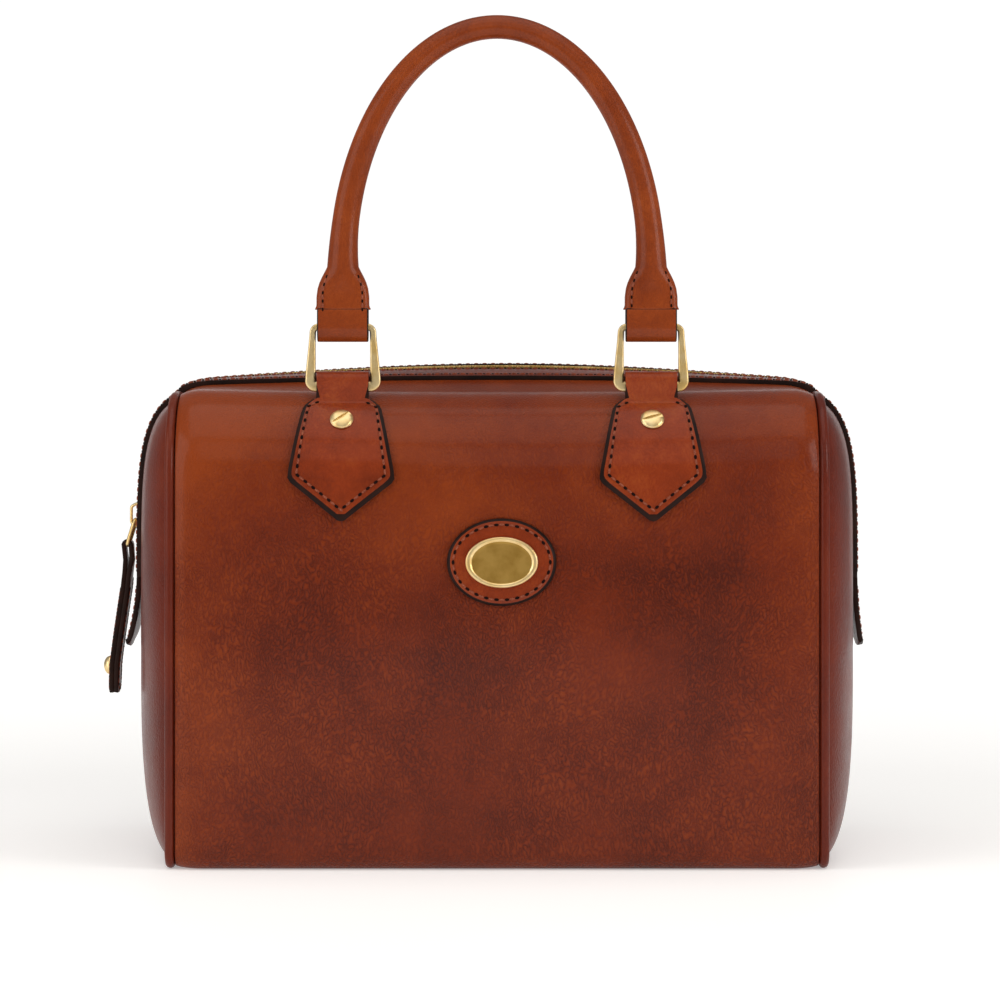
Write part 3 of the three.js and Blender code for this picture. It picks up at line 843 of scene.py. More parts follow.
@dataclass(frozen=True)
class Skin:
    """The outer surface of the body, with the same sizes as the solids."""

    half_width: float = 139.0
    half_depth: float = 82.0
    corner_height: float = 205.5
    corner_rise: float = 1.5
    crown_height: float = 8.5
    crown_fall: float = 7.0
    top_radius: float = 34.0
    base_radius: float = 8.0
    belly_out: float = 4.0
    roll_reach: float = 14.0
    roll_drop: float = 2.5
    base_roll_share: float = 0.4
    # Soft dents: across, height, half width, half height, depth; all in millimetres
    dents: tuple[tuple[float, float, float, float, float], ...] = (
        (-96, 118, 34, 60, 0.9),
        (104, 96, 30, 52, 1.1),
        (-20, 52, 70, 26, 0.8),
        (62, 140, 40, 18, 0.6),
        (-60, 168, 44, 10, 0.5),
        (118, 150, 14, 44, 0.8),
    )

    @property
    def flat_top(self) -> float:
        """Distance from the top centre line to where the top corner starts."""
        return self.half_depth - self.top_radius

    @property
    def top_turn(self) -> float:
        """Length of the top corner's arc."""
        return self.top_radius * math.pi / 2

    @property
    def straight(self) -> float:
        """Height of the flat stretch of the front."""
        return self.corner_height - self.top_radius - self.base_radius

    @property
    def base_turn(self) -> float:
        """Length of the base corner's arc."""
        return self.base_radius * math.pi / 2

    @property
    def flat_base(self) -> float:
        """Distance from the base corner to the middle of the base."""
        return self.half_depth - self.base_radius

    @property
    def half_girth(self) -> float:
        """Distance round half the section."""
        return self.flat_top + self.top_turn + self.straight + self.base_turn + self.flat_base

    def roll(self, x: float) -> float:
        """Returns how far the wall turns in near an end seam."""
        reach = max(0.0, abs(x) - (self.half_width - self.roll_reach)) / self.roll_reach
        return self.roll_drop * reach ** 3

    def point(self, x: float, along: float) -> Vector:
        """Gives a point of the skin.

        Args:
            x: Distance across.
            along: Distance round the section from the top centre line, positive round the front.

        Returns:
            The point in millimetres.
        """
        ends = min(1.0, abs(x) / self.half_width) ** 2
        roll = self.roll(x)
        high = self.corner_height + self.corner_rise * ends - roll
        base = roll * self.base_roll_share
        deep = self.half_depth - roll
        distance = abs(along)
        corner = self.flat_top + self.top_turn
        if distance <= self.flat_top:
            y = distance * (deep - self.top_radius) / self.flat_top
            crown = self.crown_height - self.crown_fall * ends
            z = high + crown * (1 + math.cos(math.pi * distance / self.flat_top)) / 2
        elif distance <= corner:
            angle = (distance - self.flat_top) / self.top_radius
            y = deep - self.top_radius + self.top_radius * math.sin(angle)
            z = high - self.top_radius + self.top_radius * math.cos(angle)
        elif distance <= corner + self.straight:
            y = deep
            z = mix(high - self.top_radius, base + self.base_radius, (distance - corner) / self.straight)
        elif distance <= self.half_girth - self.flat_base:
            angle = (distance - corner - self.straight) / self.base_radius
            y = deep - self.base_radius + self.base_radius * math.cos(angle)
            z = base + self.base_radius - self.base_radius * math.sin(angle)
        else:
            y = (deep - self.base_radius) * (self.half_girth - distance) / self.flat_base
            z = base
        belly = self.belly_out * (1 - ends) * max(0.0, math.sin(math.pi * z / high))
        belly -= self._dent(x if along > 0 else -x, z) * ramp(z, 2, 30)
        return Vector((x, (-1 if along >= 0 else 1) * (y + belly), z))

    def _dent(self, x: float, z: float) -> float:
        """Gives how far the soft dents draw the wall in at a place on the front.

        Args:
            x: Distance across the bag.
            z: Height.

        Returns:
            The depth.
        """
        depth = 0.0
        for across, height, wide, tall, deep in self.dents:
            depth += deep * math.exp(-((x - across) / wide) ** 2 - ((z - height) / tall) ** 2)
        return depth * ramp(self.half_width - abs(x), 0, 14) * ramp(self.corner_height - z, 0, 24)

    def normal(self, x: float, along: float) -> Vector:
        """Gives the skin's outward normal.

        Args:
            x: Distance across the bag.
            along: Distance round the section.

        Returns:
            A direction of length 1.
        """
        step = 0.2
        across = self.point(x + step, along) - self.point(x - step, along)
        round_it = self.point(x, along + step) - self.point(x, along - step)
        return round_it.cross(across).normalized()

    def on(self, x: float, along: float, height: float) -> Vector:
        """Returns the point at a height over the skin."""
        return self.point(x, along) + self.normal(x, along) * height

    def front_along(self, height: float) -> float:
        """Returns the distance round the section to a height on the front's flat stretch."""
        return self.flat_top + self.top_turn + self.corner_height - self.top_radius - height


@dataclass(frozen=True)
class EndShape:
    """The domed outer surface of the end panels, inside the welt."""

    skin: Skin
    bulge_out: float = 18.0
    middle: float = 90.0
    welt_radius: float = 1.9
    welt_proud: float = 0.9
    # The zip's slit comes down to this share of the panel's height
    slit_share: float = 0.57

    @property
    def face_x(self) -> float:
        """Distance from the middle of the bag to the panel's rim, which is the welt's too."""
        return self.skin.half_width + GAP + self.welt_radius

    @property
    def inset(self) -> float:
        """Distance from the body's outline in to the panel's rim."""
        return 2 * self.welt_radius - self.welt_proud + GAP

    @property
    def deep(self) -> float:
        """Half depth of the panel."""
        return self.skin.half_depth - self.skin.roll_drop - self.inset

    @property
    def base(self) -> float:
        """Height of the panel's lower rim."""
        return self.skin.roll_drop * self.skin.base_roll_share + self.inset

    @property
    def top(self) -> float:
        """Height of the panel's upper rim."""
        return self.skin.corner_height + self.skin.corner_rise - self.skin.roll_drop - self.inset

    @property
    def slit_end(self) -> float:
        """Height where the slit, and with it the zip's tape, ends."""
        return self.base + (self.top - self.base) * self.slit_share

    def half(self, z: float) -> float:
        """Gives the panel's half depth at a height.

        Args:
            z: Height.

        Returns:
            The half depth.
        """
        high = self.skin.top_radius - self.inset
        low = self.skin.base_radius - self.inset
        turned = 0.0
        if z > self.top - high:
            turned = high - math.sqrt(max(0.0, high ** 2 - (z - self.top + high) ** 2))
        if z < self.base + low:
            turned = low - math.sqrt(max(0.0, low ** 2 - (self.base + low - z) ** 2))
        return self.deep - turned

    def bulge(self, y: float, z: float) -> float:
        """Gives how far the panel stands out at a place.

        Args:
            y: Distance from the bag's long middle line.
            z: Height.

        Returns:
            The distance.
        """
        if z < self.middle:
            rise = max(0.0, 1 - abs((self.middle - z) / (self.middle - self.base)) ** 3) ** (1 / 3)
        else:
            rise = max(0.0, 1 - abs((z - self.middle) / (self.top - self.middle)) ** 6) ** 0.5
        across = max(0.0, 1 - min(1.0, abs(y / self.half(z))) ** 2.4) ** 0.6
        return self.bulge_out * across * rise

    def point(self, end: End, y: float, z: float) -> Vector:
        """Returns a point of the panel's outer surface."""
        return Vector((end.value * (self.face_x + self.bulge(y, z)), y, z))


# The body


@dataclass
class Body:
    """Front, base and back in one piece of leather, two domed end panels and their welts."""

    skin: Skin
    ends: EndShape
    finishes: Finishes
    slit_half: float = 7.0
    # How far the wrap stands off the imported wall's own facets, all over but near the middle of the base
    lift: float = 0.05
    lift_end: float = 80.0
    # The piping starts this far round the section, dives under the strips there, and is a little thicker
    piping_start: float = 22.2
    piping_dive: float = 1.2
    piping_run: float = 14.0
    piping_more: float = 0.2

    def build(self) -> None:
        """Builds the body's pieces."""
        self.wrap()
        for end in End:
            self.end_panel(end)
            self.welt(end)

    def wrap(self) -> None:
        """Builds the wrap, open along the top for the zip."""
        start = self.slit_half + 0.5
        skin = self.skin

        def place(u: float, v: float) -> Vector:
            """Lays the grid round the section, from the zip's front edge down and up the back.

            Args:
                u: Across, -1 to 1.
                v: Along, -1 to 1.

            Returns:
                The point.
            """
            run = mix(start, 2 * skin.half_girth - start, (v + 1) / 2)
            along = run if run <= skin.half_girth else run - 2 * skin.half_girth
            x = u * skin.half_width
            return skin.point(x, along) + self._lift(x, along)

        piece = laid_grid("wrap", 110, 260, place, Vector((0, 0, -1)))
        materials = [self.finishes.body, self.finishes.trim]
        thicken(piece, materials, edge=0.6)
        finish_piece(piece, "bag", materials, ["body_wrap"])

    def _lift(self, x: float, along: float) -> Vector:
        """Returns the hair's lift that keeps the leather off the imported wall's own facets."""
        near = abs(along) < self.skin.half_girth - self.lift_end
        return self.skin.normal(x, along) * self.lift if near else Vector()

    def end_panel(self, end: End) -> None:
        """Builds an end panel, slit for the zip down to its middle.

        Args:
            end: The end of the bag.
        """
        shape = self.ends
        slit_end = shape.slit_end

        def place(u: float, v: float) -> Vector:
            """Lays the grid on the dome, and opens it along the middle above the slit's end.

            Args:
                u: Across, -1 to 1.
                v: Along, -1 to 1.

            Returns:
                The point.
            """
            rise = (v + 1) / 2
            z = mix(shape.base, shape.top, 0.5 - 0.5 * math.cos(math.pi * rise))
            half = shape.half(z)
            across = math.sin(u * math.pi / 2)
            inner = self.slit_half if z > slit_end else 0.0
            if u == 0:
                return shape.point(end, 0, z)
            y = math.copysign(inner + (half - inner) * abs(across), u)
            return shape.point(end, y, z)

        piece = laid_grid(f"end_{end.name.lower()}", 60, 90, place, Vector((end.value, 0, 0)))
        slit = self.slit_half

        def in_slit(middle: Vector) -> bool:
            """Tells whether a face's middle lies in the slit."""
            return middle.z > (slit_end - 1) * MM and abs(middle.y) < (slit * 0.62) * MM

        edit(piece, lambda: bpy.ops.mesh.delete(type="FACE"), chosen=in_slit)
        materials = [self.finishes.panel, self.finishes.trim]
        thicken(piece, materials, edge=0.0)
        node = f"end_panel_{end.name.lower()}"
        finish_piece(piece, "bag", materials, [node], 60)

    def welt(self, end: End) -> None:
        """Builds the piping round one end seam, open at the top for the zip.

        Args:
            end: The end of the bag.
        """
        shape = self.ends
        skin = self.skin
        radius = shape.welt_radius
        sink = radius - shape.welt_proud
        runs = 240
        start = self.piping_start
        path = []
        for step in range(runs + 1):
            run = mix(start, 2 * skin.half_girth - start, step / runs)
            along = run if run <= skin.half_girth else run - 2 * skin.half_girth
            outer = skin.point(skin.half_width, along)
            before = skin.point(skin.half_width, along - 0.3)
            after = skin.point(skin.half_width, along + 0.3)
            tangent = (after - before).normalized()
            normal = tangent.cross(Vector((1, 0, 0)))
            normal.x = 0
            normal.normalize()
            if normal.dot(outer - Vector((outer.x, 0, 100))) < 0:
                normal = -normal
            dive = self.piping_dive * (1 - ramp(abs(along), start, start + self.piping_run))
            middle = outer - normal * (sink + dive)
            path.append(Vector((end.value * shape.face_x, middle.y, middle.z)))
        name = end.name.lower()
        piece = tube(f"piping_{name}", path, radius + self.piping_more, 14, Vector((1, 0, 0)))
        finish_piece(piece, "bag", [self.finishes.panel], [f"welt_{name}"], 60)


def tube(name: str, path: Sequence[Vector], radius: float | Sequence[float], sides: int,
         across: Vector, closed: bool = False, squash: float | Sequence[float] = 1.0,
         square: float = 2.0) -> Piece:
    """Builds a round tube along a path.

    Args:
        name: The new object's name.
        path: The centre line's points in millimetres.
        radius: One radius, or one for each point.
        sides: Faces round the tube.
        across: A direction square to the path all along it.
        closed: Whether the path closes on itself; otherwise the ends are capped.
        squash: The tube's size across the other direction, as a share of the radius, like radius.
        square: 2 for a round section, more for a squarer one.

    Returns:
        The new object.
    """
    count = len(path)
    radii = [radius] * count if isinstance(radius, (int, float)) else list(radius)
    shares = [squash] * count if isinstance(squash, (int, float)) else list(squash)
    sections = []
    for index, middle in enumerate(path):
        before = path[index - 1] if index or closed else path[0]
        after = path[(index + 1) % count] if index < count - 1 or closed else path[-1]
        run = (after - before).normalized()
        side = (across - run * across.dot(run)).normalized()
        up = run.cross(side)
        sections.append((middle, side, up, radii[index], shares[index]))
    rows = count if closed else count - 1

    def place(u: float, v: float) -> Vector:
        """Lays the grid round the tube.

        Args:
            u: Across, -1 to 1.
            v: Along, -1 to 1.

        Returns:
            The point in millimetres.
        """
        index = round((v + 1) / 2 * rows) % count
        middle, side, up, size, share = sections[index]
        angle = (u + 1) * math.pi
        cos, sin = math.cos(angle), math.sin(angle)
        first = math.copysign(abs(cos) ** (2 / square), cos)
        second = math.copysign(abs(sin) ** (2 / square), sin)
        return middle + side * (size * first) + up * (size * share * second)

    piece = laid_grid(name, sides, rows, place, Vector((0, 0, 1)))
    if closed:
        edit(piece, face_outwards)
    else:
        close_ends(piece)
    return piece


def select_rim() -> None:
    """Selects the open rims alone."""
    bpy.ops.mesh.select_mode(type="EDGE")
    bpy.ops.mesh.select_all(action="DESELECT")
    bpy.ops.mesh.select_non_manifold(extend=False, use_wire=False, use_multi_face=False, use_verts=False)


# The zip


@dataclass
class Zip:
    """The zip over the top and down the ends, with its strips, end tabs, slider and pull."""

    skin: Skin
    ends: EndShape
    finishes: Finishes
    facing_inner: float = 5.0
    facing_outer: float = 21.0
    facing_thick: float = 1.8
    sunk: float = 2.4
    tape_half: float = 6.7
    tape_thick: float = 0.8
    tooth_pitch: float = 2.4
    # One tooth: along the zip, across it, how narrow its root is, and how far it stands from the middle
    tooth_long: float = 1.55
    tooth_wide: float = 3.1
    tooth_high: float = 1.9
    tooth_root: float = 0.72
    tooth_off: float = 1.05
    # The back strip's crest over the front one, its middle and its reach along the top
    crest: float = 2.0
    crest_at: float = 8.0
    crest_reach: float = 85.0
    # The zip's line rises over the welts by this much, within this reach
    hump: float = 1.1
    hump_reach: float = 6.5
    tab_above: float = 6.0
    tab_long: float = 31.0
    tab_half: float = 15.0
    # The tabs' free ends stand off the end panels
    tab_lift: tuple[float, float] = (5.3, 2.9)
    slider_height: float = 149.6
    slider_long: float = 13.0
    bridge_long: float = 11.5
    bridge_rise: float = 4.1
    link_long: float = 11.8
    link_half: float = 4.6
    link_wire: float = 1.0
    link_tilt: float = 0.3
    strap_thick: float = 4.7
    strap_half: float = 7.0
    strap_long: float = 66.5
    strap_swing: float = 5.9
    rivet_down: float = 54.3
    rivet_radius: float = 4.2
    seam: Seam = Seam(pitch=3.8, length=2.4, width=1.2, hole_shade=1.2, hole_shade_width=0.9)
    seam_inset: float = 2.2

    @property
    def facing_end(self) -> float:
        """Height where the facings and the teeth end."""
        return self.ends.slit_end + self.tab_above

    def build(self) -> None:
        """Builds the zip's pieces."""
        for side in Side:
            self.facing(side)
        self.tape()
        self.teeth()
        for end in End:
            self.end_tab(end)
        self.slider()
        self.link()
        self.strap()
        self.rivet()

    def line(self, lowest: float, steps: int = 40) -> list[Pair]:
        """Gives stations along the zip, from the left end over the top to the right end.

        Args:
            lowest: The height where both ends of the line lie.
            steps: Stations on each end.

        Returns:
            Pairs: for the ends, -1 or 1 and the height; for the top, 0 and the distance across.
        """
        heights = [mix(lowest, self.ends.top - 0.2, math.sin(i / steps * math.pi / 2)) for i in range(steps)]
        stations = [(-1.0, z) for z in heights]
        half = self.skin.half_width
        stations += [(0.0, -half * math.cos(math.pi * i / 56)) for i in range(57)]
        return stations + [(1.0, z) for z in reversed(heights)]

    def spot(self, station: Pair, y: float) -> Vector:
        """Gives the point of the bag's surface at a station and a distance across the zip.

        Args:
            station: A station of the line.
            y: Distance from the bag's long middle line.

        Returns:
            The point in millimetres.
        """
        kind, value = station
        if kind:
            return self._over_welt(Vector((kind * (self.ends.face_x + self.ends.bulge(y, value)), y, value)))
        crest = self.crest * math.exp(-((value - self.crest_at) / self.crest_reach) ** 2)
        lift = crest * ramp(y, -5, 5) * (1 - ramp(y, 9, 20))
        return self._over_welt(self.skin.point(value, -y) + Vector((0, 0, lift)))

    def _over_welt(self, spot: Vector) -> Vector:
        """Gives a point of the line, lifted where the zip and its strips cross the end seam.

        Args:
            spot: A point in millimetres.

        Returns:
            The point in millimetres.
        """
        side = math.copysign(1.0, spot.x)
        away = Vector((spot.x - side * self.ends.face_x, spot.z - self.ends.top - 2)).length
        return spot + Vector((side * 0.6, 0, 0.8)) * (self.hump * math.exp(-(away / self.hump_reach) ** 2))

    def strip(self, name: str, lowest: float, inner: float, outer: float, low: float, high: float,
              columns: int = 8, steps: int = 40) -> Piece:
        """Lays a flat bar of material along the zip.

        Args:
            name: The new object's name.
            lowest: Height of both ends.
            inner: Distance across the zip of one edge.
            outer: Distance across the zip of the other edge.
            low: Height of its underside over the surface.
            high: Height of its upper side.
            columns: Faces across each side.
            steps: Stations on each end.

        Returns:
            The closed piece; its cut edges take the second material slot.
        """
        stations = self.line(lowest, steps)
        across = [(mix(inner, outer, i / columns), high) for i in range(columns + 1)]
        section = across + [(y, low) for y, _ in reversed(across)]
        rails = {y: self._rail(stations, y) for y, _ in across}

        def place(u: float, v: float) -> Vector:
            """Lays the grid round the section and along the stations.

            Args:
                u: Across, -1 to 1.
                v: Along, -1 to 1.

            Returns:
                The point.
            """
            y, height = section[round((u + 1) / 2 * len(section)) % len(section)]
            spot, normal = rails[y][round((v + 1) / 2 * (len(stations) - 1))]
            return spot + normal * height

        piece = laid_grid(name, len(section), len(stations) - 1, place, Vector((0, 0, 1)))
        close_ends(piece)
        paint_faces(piece, lambda face: abs(face.normal.y) > 0.75)
        return piece

    def _rail(self, stations: Sequence[Pair], y: float) -> Run:
        """Follows the zip at a distance across it.

        Args:
            stations: Stations of the line.
            y: Distance from the bag's long middle line.

        Returns:
            Points of the surface, with the line's normals.
        """
        spots = [self.spot(station, y) for station in stations]
        rail = []
        for index, spot in enumerate(spots):
            way = spots[min(len(spots) - 1, index + 1)] - spots[max(0, index - 1)]
            rail.append((spot, Vector((-way.z, 0, way.x)).normalized()))
        return rail

    def facing(self, side: Side) -> None:
        """Builds one stitched strip beside the zip.

        Args:
            side: The side of the bag.
        """
        sign = -side.value
        piece = self.strip(f"strip_{side.name.lower()}", self.facing_end, sign * self.facing_inner,
                           sign * self.facing_outer, GAP - self.sunk, GAP + self.facing_thick)
        apply_modifier(piece, "BEVEL", width=0.6 * MM, segments=2, limit_method="ANGLE",
                       angle_limit=math.radians(60), material=1)
        name = side.name.lower()
        finish_piece(piece, "bag", self.finishes.edged_trim, [f"zip_facing_{name}"])
        runs = []
        for inset in (self.facing_inner + self.seam_inset, self.facing_outer - self.seam_inset):
            runs.append(self._run(sign * inset, self.facing_end + 3, GAP + self.facing_thick + 0.12))
        seam = self.seam.build(f"strip_stitches_{name}", runs)
        finish_piece(seam, "bag", self.finishes.stitched)

    def _run(self, y: float, lowest: float, height: float) -> Run:
        """Returns points and normals along the zip at a distance across it and a height over it."""
        return [(spot + normal * height, normal) for spot, normal in self._rail(self.line(lowest), y)]

    def tape(self) -> None:
        """Builds the woven tape under the teeth."""
        piece = self.strip("tape", self.ends.slit_end + GAP, -self.tape_half, self.tape_half,
                           -self.tape_thick, 0.0, 6)
        finish_piece(piece, "bag", [self.finishes.tape], ["zip_tape"])

    def teeth(self) -> None:
        """Builds the two rows of locked teeth: one tooth, copied by the pitch."""
        bpy.ops.object.select_all(action="DESELECT")
        bpy.ops.mesh.primitive_cube_add(size=1)
        tooth = bpy.context.active_object
        for point in tooth.data.vertices:
            wide = 1.0 if point.co.y < 0 else self.tooth_root
            point.co = Vector((point.co.x * self.tooth_long * wide, point.co.y * self.tooth_wide,
                               (point.co.z + 0.5) * self.tooth_high)) * MM
        apply_modifier(tooth, "BEVEL", width=0.32 * MM, segments=2)
        corners = [p.co.copy() for p in tooth.data.vertices]
        faces = [list(face.vertices) for face in tooth.data.polygons]
        bpy.data.objects.remove(tooth)
        run = self._run(0.0, self.facing_end + 0.8, GAP)
        points, loops = [], []
        lengths = [0.0]
        for (first, _), (second, _) in zip(run, run[1:]):
            lengths.append(lengths[-1] + (second - first).length)
        count = int(lengths[-1] / (self.tooth_pitch / 2))
        index = 0
        for number in range(count):
            at = (number + 0.5) * self.tooth_pitch / 2
            while lengths[index + 1] < at:
                index += 1
            (first, normal), (second, _) = run[index], run[index + 1]
            share = (at - lengths[index]) / (lengths[index + 1] - lengths[index])
            way = (second - first).normalized()
            hand = 1 if number % 2 else -1
            side = Vector((0, hand, 0))
            turn = Matrix((way * hand, side, normal)).transposed().to_4x4()
            spot = first.lerp(second, share) - side * self.tooth_off
            matrix = Matrix.Translation(spot * MM) @ turn
            start = len(points)
            points += [matrix @ corner for corner in corners]
            loops += [[start + i for i in face] for face in faces]
        piece = from_points("teeth", points, loops)
        edit(piece, face_outwards)
        finish_piece(piece, "bag", [self.finishes.teeth], ["zip_teeth"], 30)

    def end_tab(self, end: End) -> None:
        """Builds the leather tab over the zip's end, with a free lower end.

        Args:
            end: The end of the bag.
        """
        top = self.facing_end - GAP
        lift = self.tab_lift[0 if end is End.LEFT else 1]
        shape = self.ends
        out = Vector((end.value, 0, 0))

        def place(u: float, v: float) -> Vector:
            """Lays the grid down the panel, and off it towards the free end.

            Args:
                u: Across, -1 to 1.
                v: Along, -1 to 1.

            Returns:
                The point.
            """
            down = (1 - v) / 2
            z = top - self.tab_long * down
            narrow = self.tab_half * (1 - 0.18 * ramp(down, 0.55, 1.0) ** 1.6)
            y = u * narrow
            turned = 0.0
            if down > 0.8:
                turned = 3.0 * (abs(u) ** 3) * ((down - 0.8) / 0.2) ** 2
            return shape.point(end, y, z + turned) + out * (GAP + LEATHER + lift * down * down)

        name = end.name.lower()
        piece = laid_grid(f"zip_tab_{name}", 22, 30, place, out)
        thicken(piece, self.finishes.edged_trim, LEATHER, 0.6)
        finish_piece(piece, "bag", self.finishes.edged_trim, [f"zip_end_tab_{name}"])
        # The stitches' line, in shares of the tab's half width and half length
        corners = [(0.84, -0.9), (0.84, 0.6), (0.5, 0.86), (-0.5, 0.86), (-0.84, 0.6), (-0.84, -0.9)]
        run = [(place(u, -v) + out * 0.12, out) for u, v in dotted(corners, 8)]
        seam = self.seam.build(f"zip_tab_stitches_{name}", [run])
        finish_piece(seam, "bag", self.finishes.stitched)

    @property
    def slider_foot(self) -> float:
        """How far out the slider's plate lies."""
        return self.ends.face_x + self.ends.bulge(0, self.slider_height) + 2 * GAP + 1.2

    @property
    def link_top(self) -> Vector:
        """Centre of the link's upper bar, on the left end.

        Returns:
            The point in millimetres.
        """
        out = self.slider_foot + 1.2 + (self.bridge_rise - 1.2) / 2 - GAP / 2
        high = self.slider_height - self.bridge_long / 2 + 1.2 + self.link_wire + 4 * GAP
        return Vector((-out, 0, high))

    @property
    def eye(self) -> Vector:
        """Centre of the link's lower bar."""
        drop = Vector((-math.sin(self.link_tilt), 0, -math.cos(self.link_tilt)))
        return self.link_top + drop * self.link_long

    def slider(self) -> None:
        """Builds the slider: a shaped plate with side flanges and the bridge for the link."""
        bpy.ops.object.select_all(action="DESELECT")
        bpy.ops.mesh.primitive_cube_add(size=1)
        plate = bpy.context.active_object
        edit(plate, lambda: bpy.ops.mesh.subdivide(number_cuts=3))
        foot = self.slider_foot
        for point in plate.data.vertices:
            high = point.co.z
            narrow = 1.0 - 0.3 * max(0.0, -high * 2) ** 2
            point.co = Vector((-foot - 0.6 + point.co.x * 1.2, point.co.y * 8.8 * narrow,
                               self.slider_height + high * self.slider_long)) * MM
        apply_modifier(plate, "BEVEL", width=0.35 * MM, segments=2, limit_method="ANGLE")
        base = foot + 1.2 - GAP
        rows = []
        for step in range(25):
            angle = math.pi * step / 24
            rows.append(Vector((-(base + (self.bridge_rise - 0.6) * min(1.0, 1.35 * math.sin(angle))), 0,
                                self.slider_height + (self.bridge_long / 2 - 0.7) * math.cos(angle))))
        bridge = tube("bridge", rows, 1.25, 12, Vector((0, 1, 0)), squash=0.55)
        piece = joined("slider", [plate, bridge])
        finish_piece(piece, "bag", [self.finishes.brass], ["zip_slider"], 35)

    def link(self) -> None:
        """Builds the small wire link between slider and strap."""
        top, low = self.link_top, self.eye
        down = (low - top).normalized()
        side = Vector((0, 1, 0))
        path = round_loop(top, down, side, self.link_long, self.link_half - self.link_wire, 2.2)
        piece = tube("pull_link", path, self.link_wire, 12, down.cross(side), closed=True)
        finish_piece(piece, "bag", [self.finishes.brass], ["zip_pull_link"], 60)

    def _strap_spot(self, down: float) -> Vector:
        """Returns the strap's centre line a share of the way down."""
        rows = [(0, 0), (0.1, -0.1), (0.3, 0.12), (0.6, 0.62), (0.8, 0.92), (1, 1.0)]
        return self.eye + Vector((-self.strap_swing * along_table(rows, down), 0, -self.strap_long * down))

    def strap(self) -> None:
        """Builds the folded leather pull strap, with its two edges and stitches."""
        eye = self.eye
        layer = self.strap_thick / 2 - 0.08
        # The share where the layers leave the bar, and the strap's half widths on the way down
        wrapped = 0.055
        half_rows = [(0, 3.2), (0.06, 3.2), (0.14, 5.2), (0.24, self.strap_half), (0.9, self.strap_half),
                     (0.96, 6.2), (1, 4.0)]

        def face(hand: int) -> Place:
            """Gives one layer's outer surface: 1 faces out from the bag, -1 towards it.

            Args:
                hand: 1 for the layer that faces out from the bag, -1 for the other.

            Returns:
                The layer's surface.
            """
            def place(u: float, v: float) -> Vector:
                """Lays the grid down the strap; the top wraps the link's bar.

                Args:
                    u: Across, -1 to 1.
                    v: Along, -1 to 1.

                Returns:
                    The point in millimetres.
                """
                down = (1 - v) / 2
                y = u * along_table(half_rows, down)
                if down < wrapped:
                    turn = down / wrapped * math.pi / 2
                    out = (self.link_wire + 1.7) * math.sin(turn)
                    rise = (self.link_wire + 1.7) * math.cos(turn)
                    return eye + Vector((-hand * out, y, rise))
                middle = self._strap_spot(down)
                waist = mix(self.link_wire + 1.7, layer, ramp(down, wrapped, 0.2))
                pillow = 0.25 * (1 - u * u)
                return middle + Vector((-hand * (waist - 0.25 + pillow), y, 0))
            return place

        layers = []
        for hand in (1, -1):
            piece = laid_grid(f"pull_layer_{hand}", 14, 60, face(hand), Vector((-hand, 0, 0)))
            thicken(piece, self.finishes.edged_handle, layer - 0.15, 0.5)
            layers.append(piece)
        piece = joined("pull_strap", layers)
        finish_piece(piece, "bag", self.finishes.edged_handle, ["zip_pull_strap"])
        corners = [(0.72, 0.52), (0.72, -0.86), (0.4, -0.95), (-0.4, -0.95), (-0.72, -0.86), (-0.72, 0.52)]
        runs = []
        for hand in (1, -1):
            out = Vector((-hand, 0, 0))
            runs.append([(face(hand)(u, v) + out * 0.1, out) for u, v in dotted(corners, 12)])
        seam = Seam(pitch=3.6, length=2.6, width=0.7).build("pull_stitches", runs)
        finish_piece(seam, "bag", self.finishes.stitched)

    def rivet(self) -> None:
        """Builds the domed rivet on the strap's outer face."""
        middle = self._strap_spot(self.rivet_down / self.strap_long)
        piece = dome("pull_rivet", self.rivet_radius, 2.4, 0.7)
        out = middle + Vector((-self.strap_thick / 2 + 0.1, 0, 0))
        turn = Matrix.Rotation(-math.pi / 2, 4, "Y")
        piece.data.transform(Matrix.Translation(out * MM) @ turn)
        finish_piece(piece, "bag", [self.finishes.brass], ["zip_pull_rivet"], 35)


def round_loop(top: Vector, down: Vector, side: Vector, long: float, half: float, corner: float,
               low_half: float | None = None, steps: int = 8) -> list[Vector]:
    """Gives the centre line of a rounded loop.

    Args:
        top: Middle of its upper bar.
        down: Direction from the upper bar to the lower bar.
        side: Direction along the bars.
        long: Distance between the bars.
        half: Half length of the upper bar, out to the sides' centre lines.
        corner: Radius of the centre line at the corners.
        low_half: Half length of the lower bar, where it differs.
        steps: Steps round each corner.

    Returns:
        The points, once round.
    """
    low = half if low_half is None else low_half
    corners = [(half - corner, corner), (low - corner, long - corner), (corner - low, long - corner),
               (corner - half, corner)]
    path = []
    for quarter, (x, z) in enumerate(corners):
        for step in range(steps + 1):
            angle = (quarter - 1 + step / steps) * math.pi / 2
            path.append(top + side * (x + corner * math.cos(angle)) + down * (z + corner * math.sin(angle)))
    spaced = []
    for first, second in zip(path, path[1:] + path[:1]):
        spaced.append(first)
        length = (second - first).length
        for cut in range(1, int(length / 2.5)):
            spaced.append(first.lerp(second, cut / int(length / 2.5)))
    return spaced


